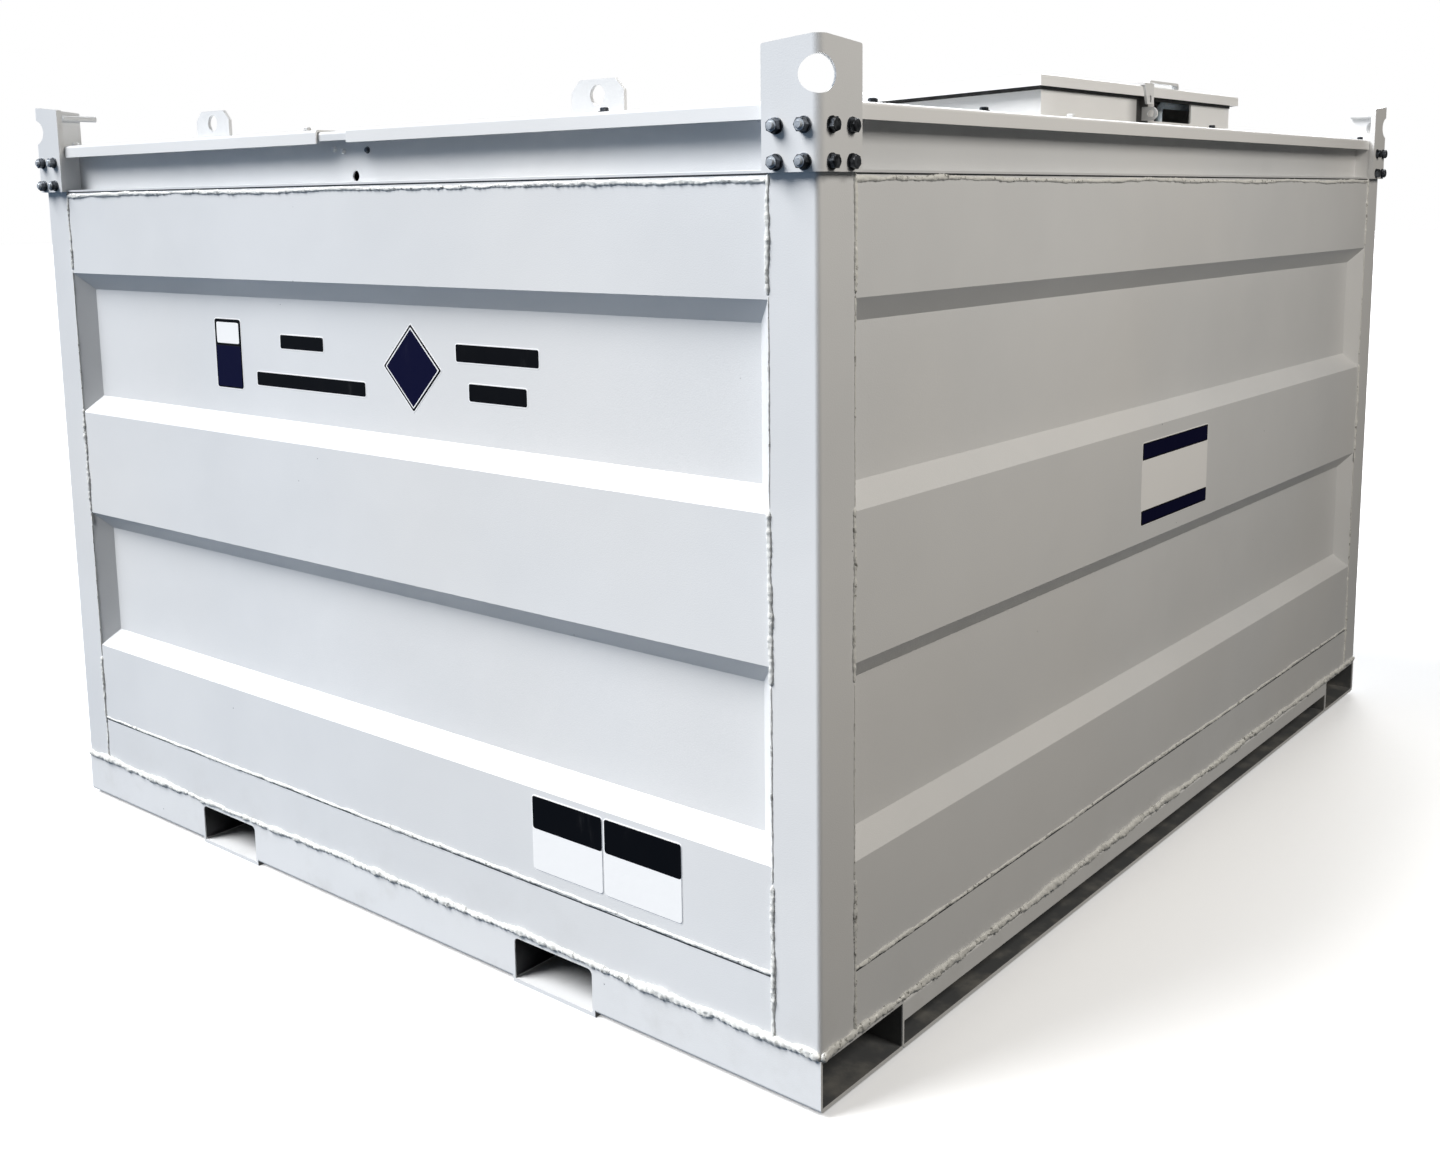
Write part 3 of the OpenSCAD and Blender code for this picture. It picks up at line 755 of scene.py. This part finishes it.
def nut(washer_d: float, flats: float, bolt_d: float, past: float) -> tuple[TurnedPart, TurnedPart]:
    """A washer and a nut on a face, as a part painted dark as shade and a part painted bright as a
    highlight: the nut's face and bolt's end.

    Args:
        washer_d: Diameter of the washer.
        flats: Width of the nut across its flats.
        bolt_d: Diameter of the bolt.
        past: How far the bolt's end stands from the face.

    Returns:
        The part painted dark as shade and the part painted bright as a highlight.
    """
    washer_t, nut_t, chamfer = 0.0025, bolt_d * 0.85, 0.0010
    top = washer_t + nut_t
    body = TurnedPart((
        (Row.ROUND, washer_d / 2, -0.0005),
        (Row.ROUND, washer_d / 2, washer_t - 0.0004),
        (Row.ROUND, washer_d / 2 - 0.0005, washer_t),
        (Row.HEX, flats / 2 - 0.0006, washer_t),
        (Row.HEX, flats / 2, washer_t + 0.0006),
        (Row.HEX, flats / 2, top - chamfer),
        (Row.ROUND, flats / 2 - 0.0003, top),
    ))
    end = TurnedPart((
        (Row.ROUND, flats / 2 - 0.0010, top - 0.0003),
        (Row.ROUND, flats / 2 - 0.0012, top + 0.0002),
        (Row.ROUND, bolt_d / 2, top + 0.0003),
        (Row.ROUND, bolt_d / 2, past - chamfer),
        (Row.ROUND, bolt_d / 2 - chamfer, past),
    ))
    return body, end


def bolt_head(flats: float, height: float, washer_d: float) -> TurnedPart:
    """A hexagon head on a washer.

    Args:
        flats: Width across its flats.
        height: How far the head stands from the face.
        washer_d: Diameter of the washer.

    Returns:
        The turned part.
    """
    washer_t = height * 0.2
    return TurnedPart((
        (Row.ROUND, washer_d / 2, -0.0005),
        (Row.ROUND, washer_d / 2, washer_t),
        (Row.HEX, flats / 2, washer_t),
        (Row.HEX, flats / 2, height - 0.0012),
        (Row.ROUND, flats / 2 - 0.0010, height),
    ))


@dataclass
class BracketBolts:
    """The eight nuts or bolt heads on each corner bracket."""

    tank: TankBox
    steel: bpy.types.Material
    bright: bpy.types.Material
    columns: Pair = (0.028, 0.078)
    rows: Pair = (0.0145, 0.066)
    long_end: tuple[TurnedPart, ...] = nut(0.0245, 0.0195, 0.012, 0.0165)
    short_end: tuple[TurnedPart, ...] = (bolt_head(0.0195, 0.0105, 0.0245),)
    seed: int = 11

    def build(self) -> list[bpy.types.Object]:
        """Returns one piece for each bracket."""
        rng = np.random.default_rng(self.seed)
        low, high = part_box("bracket_front_right")
        fold, proud = high.x, high.x - self.tank.half[0]
        made = []
        for corner in ("front_right", "back_right", "back_left", "front_left"):
            batch = MeshBatch()
            sides = [side for side in Side if side.name.lower() in corner]
            for side in sides:
                shapes = self.short_end if side.value % 2 else self.long_end
                reach = self.tank.half_length(side) + fold - self.tank.half[0]
                hand = self._hand(side, corner)
                for column in self.columns:
                    for row in self.rows:
                        spin = rng.uniform(0.0, math.pi)
                        for number, shape in enumerate(shapes):
                            x, y, up = np.moveaxis(shape.rings(spin), -1, 0)
                            along = hand * (reach - column) + x
                            spot = np.stack([along, proud + up, low.z + row + y], axis=-1)
                            batch.tube(self.tank.turn(spot, side), number)
            piece = batch.build(f"{corner}_bolts", self.steel, self.bright, smooth=False)
            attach(piece, "tank")
            made.append(piece)
        return made

    @staticmethod
    def _hand(side: Side, corner: str) -> float:
        """Returns 1 where a corner is at a side's right end, seen from outside, and -1 at its left end."""
        right_end = {Side.FRONT: "right", Side.RIGHT: "back", Side.BACK: "left", Side.LEFT: "front"}
        return 1.0 if right_end[side] in corner else -1.0


@dataclass
class CapBolts:
    """Bolt heads along the strips on the roof's edges and on the front rail's web, some painted over.

    Each head is turned by its place times a factor, so that no two stand alike.
    """

    tank: TankBox
    steel: bpy.types.Material
    paint: bpy.types.Material
    inset: float = 0.020
    head: TurnedPart = bolt_head(0.013, 0.0075, 0.020)
    small: TurnedPart = bolt_head(0.009, 0.0055, 0.013)
    front_spots: tuple[float, ...] = (-0.991, -0.116, 0.667)
    side_spots: tuple[float, ...] = (-1.144, -0.811, -0.494, 0.173, 1.199)
    painted: tuple[float, ...] = (-0.991, -0.116, -0.494)
    web_spots: tuple[Pair, ...] = ((-0.056, 1.526), (-0.028, 1.522), (0.044, 1.522))
    head_turn: float = 7.0
    small_turn: float = 9.0
    rail_t: float = 0.004

    def build(self) -> list[bpy.types.Object]:
        """Returns the heads on the caps and those on the web, as two pieces."""
        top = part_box("right_cap")[1].z
        batch = MeshBatch()
        for side in Side:
            for s in self.side_spots if side.value % 2 else self.front_spots:
                x, y, up = np.moveaxis(self.head.rings(s * self.head_turn), -1, 0)
                spot = np.stack([s + x, y - self.inset, top + up], axis=-1)
                batch.tube(self.tank.turn(spot, side), int(s in self.painted))
        caps = batch.build("cap_bolts", self.steel, self.paint, smooth=False)
        rail_low, rail_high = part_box("front_rail")
        web = rail_high.y - rail_low.y
        batch = MeshBatch()
        for s, z in self.web_spots:
            x, y, up = np.moveaxis(self.small.rings(s * self.small_turn), -1, 0)
            spot = np.stack([s + x, up - (web - self.rail_t), z + y], axis=-1)
            batch.tube(self.tank.turn(spot, Side.FRONT), int(s < 0))
        rivets = batch.build("rail_bolts", self.steel, self.paint, smooth=False)
        for piece in (caps, rivets):
            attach(piece, "tank")
        return [caps, rivets]


@dataclass
class HatchShadeStrip:
    """A black strip round the top of the hatch box, standing in as painted shade for the dark line under
    the lid's rim.
    """

    rubber: bpy.types.Material
    height: float = 0.0055
    proud: float = 0.0030
    buried: float = 0.0005
    overlap: float = 0.004
    radius: float = 0.004
    strap_t: float = 0.005
    rim: float = 0.022
    slope_deg: float = 2.0

    def build(self) -> list[bpy.types.Object]:
        """Returns the black strip.

        Its path is the hatch box's outline with small corner arcs. Each ring of the closed tube is an
        upright rectangle from the wall outwards, whose height follows the slope of the lid.
        """
        low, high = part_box("hatch_box")
        lid_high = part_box("hatch_lid")[1]
        rim_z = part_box("lock_strap")[1].z - self.strap_t - self.rim
        quarter = np.linspace(0.0, math.pi / 2, 6)
        corners = ((high.x, high.y, 0), (low.x, high.y, 1), (low.x, low.y, 2), (high.x, low.y, 3))
        path, outwards = [], []
        for x, y, turn in corners:
            angle = quarter + turn * math.pi / 2
            sign = np.array((1.0 if x > low.x else -1.0, 1.0 if y > low.y else -1.0))
            normal = np.stack([np.cos(angle), np.sin(angle)], -1)
            path.append(np.array((x, y)) - self.radius * sign + self.radius * normal)
            outwards.append(normal)
        path, outwards = np.concatenate(path), np.concatenate(outwards)
        rim = rim_z + (path[:, 0] - lid_high.x) * math.tan(math.radians(self.slope_deg))
        section = (
            (-self.buried, -self.height), (self.proud, -self.height),
            (self.proud, self.overlap), (-self.buried, self.overlap),
        )
        rings = np.stack([
            np.concatenate([path + outwards * out, (rim + up)[:, None]], axis=-1) for out, up in section
        ], axis=1)
        batch = MeshBatch()
        batch.tube(np.concatenate([rings, rings[:1]]))
        piece = batch.build("hatch_seal", self.rubber, smooth=False)
        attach(piece, "tank")
        return [piece]


class Ink(Enum):
    """Colours of the blank films."""

    WHITE = 0
    NAVY = 1
    BLACK = 2
    GREY = 3


@dataclass(frozen=True)
class Layer:
    """One plain layer of a film: its colour, its distances from the film's edges, and its corners."""

    ink: Ink
    left: float = 0.0
    right: float = 0.0
    low: float = 0.0
    high: float = 0.0
    corner: float = 0.003

    @classmethod
    def inset(cls, ink: Ink, edge: float, corner: float = 0.003) -> "Layer":
        """Returns a layer that stays equally far from all four edges."""
        return cls(ink, edge, edge, edge, edge, corner)


@dataclass(frozen=True)
class Film:
    """One blank film on a wall: its side, its middle, its size, its layers and how far in its wall lies."""

    name: str
    side: Side
    middle: Pair
    size: Pair
    layers: tuple[Layer, ...]
    depth: float = 0.0
    turned: bool = False
    layer_t: float = 0.00030
    buried: float = 0.0002
    bevel: Pair = (0.0002, 0.0001)

    def rings(self, number: int, places: int = 8) -> np.ndarray:
        """One layer as rings: its outline at its back, at its front edge and just inside that.

        The outline is a rectangle with quarter circles for corners. Turned films stand on one corner.

        Args:
            number: Which layer, counted from the wall outwards.
            places: Points on each corner.

        Returns:
            Array of shape (rings, places round, 3), as along, outwards and up.
        """
        layer = self.layers[number]
        width = self.size[0] - layer.left - layer.right
        height = self.size[1] - layer.low - layer.high
        half = np.array((width, height)) / 2
        shift = np.array((layer.left - layer.right, layer.low - layer.high)) / 2
        quarter = np.linspace(0.0, math.pi / 2, places)
        top = self.layer_t * (number + 1)
        rings = []
        for inset, out in ((0.0, -self.buried), (0.0, top - self.bevel[1]), (self.bevel[0], top)):
            outline = []
            for turn, sign in enumerate(((1, 1), (-1, 1), (-1, -1), (1, -1))):
                angle = quarter + turn * math.pi / 2
                arc = (layer.corner - inset) * np.stack([np.cos(angle), np.sin(angle)], -1)
                outline.append((half - layer.corner) * sign + arc)
            flat = np.concatenate(outline) + shift
            if self.turned:
                flat = flat @ np.array(((1.0, 1.0), (-1.0, 1.0))) * math.sqrt(0.5)
            flat = flat + np.array(self.middle)
            rings.append(np.stack([flat[:, 0], np.full(len(flat), out - self.depth), flat[:, 1]], -1))
        return np.array(rings)


@dataclass
class Films:
    """All blank films, at the places and sizes of the real ones and with nothing printed on them."""

    tank: TankBox
    panel_depth: float
    halo: float = 0.0022
    gloss: float = 0.12
    white_gloss: float = 0.5
    inks: Mapping[Ink, Colour] = field(default_factory=lambda: {
        Ink.WHITE: (0.98, 0.98, 0.98), Ink.NAVY: (0.0012, 0.0012, 0.024),
        Ink.BLACK: (0.0012, 0.0012, 0.0022), Ink.GREY: (0.42, 0.45, 0.50),
    })

    def bar(self, name: str, middle: Pair, size: Pair) -> Film:
        """Returns a black bar with a thin white edge, on the upper pressed panel of the front."""
        layers = (Layer(Ink.WHITE, corner=0.006), Layer.inset(Ink.BLACK, self.halo, 0.004))
        return Film(name, Side.FRONT, middle, size, layers, self.panel_depth)

    def films(self) -> list[Film]:
        """Returns the films."""
        edge = self.halo
        header = (
            Layer(Ink.WHITE, corner=0.008),
            Layer(Ink.GREY, 0.0015, 0.0010, 0.0015, 0.0020, 0.0065),
            Layer(Ink.WHITE, 0.0015, 0.0020, 0.0027, 0.0020, 0.0065),
            Layer(Ink.BLACK, edge, edge, 0.080, edge, 0.0055),
        )
        bands = (
            Layer(Ink.WHITE, corner=0.006),
            Layer(Ink.BLACK, edge, edge, 0.1375, edge, 0.003),
            Layer(Ink.NAVY, edge + 0.0022, edge + 0.0022, 0.1400, edge + 0.0024, 0.002),
            Layer(Ink.BLACK, edge, edge, edge, 0.1430, 0.003),
            Layer(Ink.NAVY, edge + 0.0022, edge + 0.0022, edge + 0.0024, 0.1455, 0.002),
        )
        block = (
            Layer(Ink.WHITE, corner=0.008), Layer.inset(Ink.BLACK, edge, 0.006),
            Layer(Ink.WHITE, 0.009, 0.009, 0.096, 0.009, 0.004),
            Layer(Ink.NAVY, 0.005, 0.005, 0.005, 0.058, 0.003),
        )
        diamond = (
            Layer(Ink.WHITE), Layer.inset(Ink.BLACK, edge, 0.0025), Layer.inset(Ink.WHITE, 0.0060, 0.002),
            Layer.inset(Ink.NAVY, 0.0085, 0.0015),
        )
        upper = self.panel_depth
        return [
            Film("front_film_left", Side.FRONT, (0.555, 0.308), (0.174, 0.143), header),
            Film("front_film_right", Side.FRONT, (0.733, 0.308), (0.178, 0.143), header),
            Film("side_film", Side.RIGHT, (-0.011, 0.835), (0.344, 0.175), bands),
            Film("square_film", Side.FRONT, (-0.446, 1.116), (0.098, 0.149), block, upper),
            Film("diamond_film", Side.FRONT, (0.149, 1.120), (0.120, 0.120), diamond, upper, True),
            self.bar("upper_bar_film", (-0.190, 1.150), (0.146, 0.032)),
            self.bar("lower_bar_film", (-0.170, 1.070), (0.360, 0.032)),
            self.bar("right_bar_film", (0.380, 1.155), (0.218, 0.036)),
            self.bar("right_low_bar_film", (0.380, 1.085), (0.154, 0.036)),
        ]

    def build(self) -> list[bpy.types.Object]:
        """Returns one piece for each film."""
        finishes = [
            PlainFilm(
                f"{ink.name.lower()}_film", colour, self.white_gloss if ink is Ink.WHITE else self.gloss
            ).build()
            for ink, colour in self.inks.items()
        ]
        numbers = {ink: number for number, ink in enumerate(self.inks)}
        made = []
        for film in self.films():
            batch = MeshBatch()
            for number, layer in enumerate(film.layers):
                batch.tube(self.tank.turn(film.rings(number), film.side), numbers[layer.ink])
            piece = batch.build(film.name, *finishes, smooth=False)
            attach(piece, "tank")
            made.append(piece)
        return made


@dataclass
class Shell:
    """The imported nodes, dressed by the finish that each one has."""

    nodes: Mapping[str, bpy.types.Object]
    tank: TankBox
    white: bpy.types.Material
    steel: bpy.types.Material
    pipe: bpy.types.Material
    wall_nodes: tuple[str, ...] = each_side("wall")
    strip_nodes: tuple[str, ...] = each_side("lower_strip")
    rail_nodes: tuple[str, ...] = each_side("rail")
    steel_nodes: tuple[str, ...] = ("fill_cap", "dip_cap")
    base_nodes: tuple[str, ...] = (
        "front_base_beam", "back_base_beam", "right_base_channel", "left_base_channel", "floor_pan",
    )
    pocket_nodes: tuple[str, ...] = ("right_fork_pocket", "left_fork_pocket")
    cap_nodes: tuple[str, ...] = ("front_caps", "right_cap", "back_caps", "left_cap", "hatch_lid")
    floor_drop: float = 0.0006
    # Heights of the dark lines at the wall and strip joints: painted shade under the ledges' edges.
    wall_joint_shade_drop: float = 0.0010
    strip_joint_shade_drop: float = 0.0050
    strip_joint_shade_t: float = 0.0026
    # Darker white on the rails: painted shade under the caps' overhang.
    rail_shade_tones: tuple[Colour, Colour] = ((0.715, 0.730, 0.748), (0.675, 0.690, 0.708))
    # Lighter white on the caps and the hatch lid: painted light.
    cap_lit_tones: tuple[Colour, Colour] = ((0.905, 0.910, 0.914), (0.870, 0.877, 0.884))

    def dress(self) -> int:
        """Puts a material on every node, and returns how many there are."""
        tank = self.tank
        floor_z = tank.base_z - self.floor_drop
        base = BasePaint("base_paint", half=tank.half, floor_z=floor_z).build()
        pocket = PocketPaint("pocket_paint", half=tank.half, floor_z=tank.base_z).build()
        # Walls and strips carry a dark line of painted shade at their joints.
        wall = WhitePaint("wall_paint", joint_z=tank.wall_top_z - self.wall_joint_shade_drop).build()
        joint_z = tank.seam_z - self.strip_joint_shade_drop
        strip = WhitePaint("strip_paint", joint_z=joint_z, joint_t=self.strip_joint_shade_t).build()
        # Middle of the painted shadow of the strap and staple on the hatch box.
        staple_low, staple_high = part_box("staple")
        shade_spot = (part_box("hatch_box")[1].x, (staple_low.y + staple_high.y) / 2, staple_low.z)
        hatch = HatchPaint("hatch_paint", shade_spot=shade_spot).build()
        rail = WhitePaint("rail_paint", *self.rail_shade_tones).build()
        cap = WhitePaint("cap_paint", *self.cap_lit_tones).build()
        finishes = {
            self.steel_nodes: self.steel, self.rail_nodes: rail, self.strip_nodes: strip,
            self.cap_nodes: cap, self.wall_nodes: wall, self.base_nodes: base,
            self.pocket_nodes: pocket, ("delivery_pipe",): self.pipe, ("hatch_box",): hatch,
        }
        by_node = {name: finish for names, finish in finishes.items() for name in names}
        for name, node in self.nodes.items():
            node.data.materials.clear()
            node.data.materials.append(by_node.get(name, self.white))
        return len(self.nodes)


@dataclass(frozen=True)
class PhotoCamera:
    """The photograph's camera, from its solved place, direction and focal length."""

    place: Point = (2.3776, -3.0943, 1.4176)
    forward: Point = (-0.62631, 0.76497, -0.15019)
    right: Point = (0.77485, 0.63203, -0.01215)
    focal_px: float = 1522.3
    centre_px: Pair = (722.5, 433.6)
    sensor_mm: float = 36.0
    image_px: Pair = (1440.0, 1152.0)
    clip_m: Pair = (0.05, 200.0)

    def build(self) -> bpy.types.Object:
        """Makes the camera and gives it to the scene."""
        data = bpy.data.cameras.new("photo_camera")
        data.sensor_width = self.sensor_mm
        data.lens = self.focal_px * self.sensor_mm / self.image_px[0]
        data.shift_x = -(self.centre_px[0] - self.image_px[0] / 2) / self.image_px[0]
        data.shift_y = (self.centre_px[1] - self.image_px[1] / 2) / self.image_px[0]
        data.clip_start, data.clip_end = self.clip_m
        camera = add_object("photo_camera", data)
        back = -Vector(self.forward).normalized()
        right = Vector(self.right).normalized()
        up = back.cross(right).normalized()
        right = up.cross(back)
        turn = Matrix((right, up, back)).transposed()
        camera.matrix_world = Matrix.Translation(self.place) @ turn.to_4x4()
        bpy.context.scene.camera = camera
        return camera


@dataclass(frozen=True)
class SoftSun:
    """One broad, even light from far away."""

    name: str
    towards: Point
    strength: float
    spread_deg: float
    colour: Colour = (1.0, 1.0, 1.0)

    def build(self) -> bpy.types.Object:
        """Makes the light, shining along the direction opposite to the one it stands in."""
        data = bpy.data.lights.new(self.name, "SUN")
        data.energy = self.strength
        data.angle = math.radians(self.spread_deg)
        data.color = self.colour
        light = add_object(self.name, data)
        light.rotation_euler = Vector(self.towards).to_track_quat("Z", "Y").to_euler()
        return light


@dataclass(frozen=True)
class SoftPanel:
    """A square panel of light that stands somewhere and shines at a place."""

    name: str
    place: Point
    aim: Point
    watts: float
    width: float
    colour: Colour = (1.0, 1.0, 1.0)

    def build(self) -> bpy.types.Object:
        """Makes the panel, which the camera does not see."""
        data = bpy.data.lights.new(self.name, "AREA")
        data.energy, data.size, data.color = self.watts, self.width, self.colour
        light = add_object(self.name, data)
        light.location = self.place
        towards = Vector(self.place) - Vector(self.aim)
        light.rotation_euler = towards.to_track_quat("Z", "Y").to_euler()
        light.visible_camera = False
        return light


@dataclass(frozen=True)
class Studio:
    """A pale floor, a pale surround and soft lights."""

    floor_half: float = 60.0
    cool_low: Colour = (0.100, 0.168, 0.262)
    cool_high: Colour = (0.175, 0.238, 0.325)
    warm_low: Colour = (0.036, 0.037, 0.036)
    warm_high: Colour = (0.110, 0.106, 0.098)
    blend: Pair = (0.25, 0.5)
    shown_level: float = 1.0
    lights: tuple[SoftSun | SoftPanel, ...] = (
        SoftSun("front_light", (-0.72, -0.76, 1.10), 5.30, 37.0, (1.0, 0.995, 0.99)),
        SoftSun("back_light", (-0.45, 1.0, 0.40), 1.9, 40.0),
        SoftPanel("side_light", (4.2, -0.5, 3.55), (1.1, -0.2, 0.9), 102.0, 1.6, (1.0, 0.945, 0.865)),
    )

    def build(self) -> None:
        """Makes the floor, the surround and the lights."""
        half = self.floor_half
        mesh = bpy.data.meshes.new("studio_floor")
        corners = [(-half, -half, 0.0), (half, -half, 0.0), (half, half, 0.0), (-half, half, 0.0)]
        mesh.from_pydata(corners, [], [(0, 1, 2, 3)])
        mesh.materials.append(StudioFloor().build())
        floor = add_object("studio_floor", mesh)
        floor.visible_diffuse = False
        floor.visible_glossy = False
        bpy.context.scene.world = self.surround()
        for light in self.lights:
            light.build()
        bpy.context.scene.view_settings.view_transform = "Standard"

    def surround(self) -> bpy.types.World:
        """Makes the surround: cool on the front and warm on the right, darker below, pale to the eye."""
        tree = ShaderTree(bpy.data.worlds.new("studio"))
        towards = tree.node("ShaderNodeTexCoord", output="Generated")
        height = tree.axis(towards, "Z").step(-self.blend[1], self.blend[1])
        side = tree.axis(towards, "X").step(-self.blend[0], self.blend[0])
        cool = tree.mix(height, self.cool_low, self.cool_high)
        warm = tree.mix(height, self.warm_low, self.warm_high)
        lit = tree.node("ShaderNodeBackground", inputs={"Color": tree.mix(side, cool, warm)})
        shown = tree.node("ShaderNodeBackground", inputs={"Color": (self.shown_level,) * 3})
        seen = tree.node("ShaderNodeLightPath", output="Is Camera Ray")
        both = tree.node("ShaderNodeMixShader", inputs={0: seen, 1: lit, 2: shown})
        return tree.close(both, "ShaderNodeOutputWorld")


def main() -> None:
    """Loads the frame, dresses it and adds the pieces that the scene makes."""
    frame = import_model()
    PhotoCamera().build()
    Studio().build()
    tank = TankBox.from_frame()
    panel_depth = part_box("front_wall")[1].y + tank.half[1] - tank.sheet
    white = WhitePaint("white_paint").build()
    bead_paint = BeadPaint("bead_paint").build()
    steel = DullSteel("bare_steel").build()
    # Near-black bolt bodies: painted shade; light nut faces and bolt ends: painted highlight.
    bolts = DullSteel("bolt_steel", (0.17, 0.185, 0.21), (0.016, 0.019, 0.024)).build()
    bright = DullSteel("bright_steel", (0.66, 0.70, 0.74), (0.30, 0.33, 0.37), (0.30, 0.5), 0.3).build()
    # Pale pipe colour: painted light on the pipe seen through the hatch slot, where it lies in the lid's
    # shade.
    pipe = DullSteel("pipe_steel", (0.80, 0.90, 0.98), (0.62, 0.74, 0.86), (0.30, 0.45), 0.0).build()
    # Near-black for the strip that stands in for the shade under the hatch lid's rim.
    black = (0.035, 0.036, 0.038), (0.016, 0.016, 0.017)
    rubber = DullSteel("seal_rubber", *black, (0.5, 0.7), 0.0).build()
    LOG.info("shell: %d nodes", Shell(frame["nodes"], tank, white, steel, pipe).dress())
    parts: Sequence[Any] = (
        WeldBeads(tank, bead_paint), BracketBolts(tank, bolts, bright), CapBolts(tank, bolts, white),
        HatchShadeStrip(rubber), Films(tank, panel_depth),
    )
    for part in parts:
        for piece in part.build():
            LOG.info("%s: %s, %d faces", type(part).__name__, piece.name, len(piece.data.polygons))


if __name__ == "__main__":
    main()
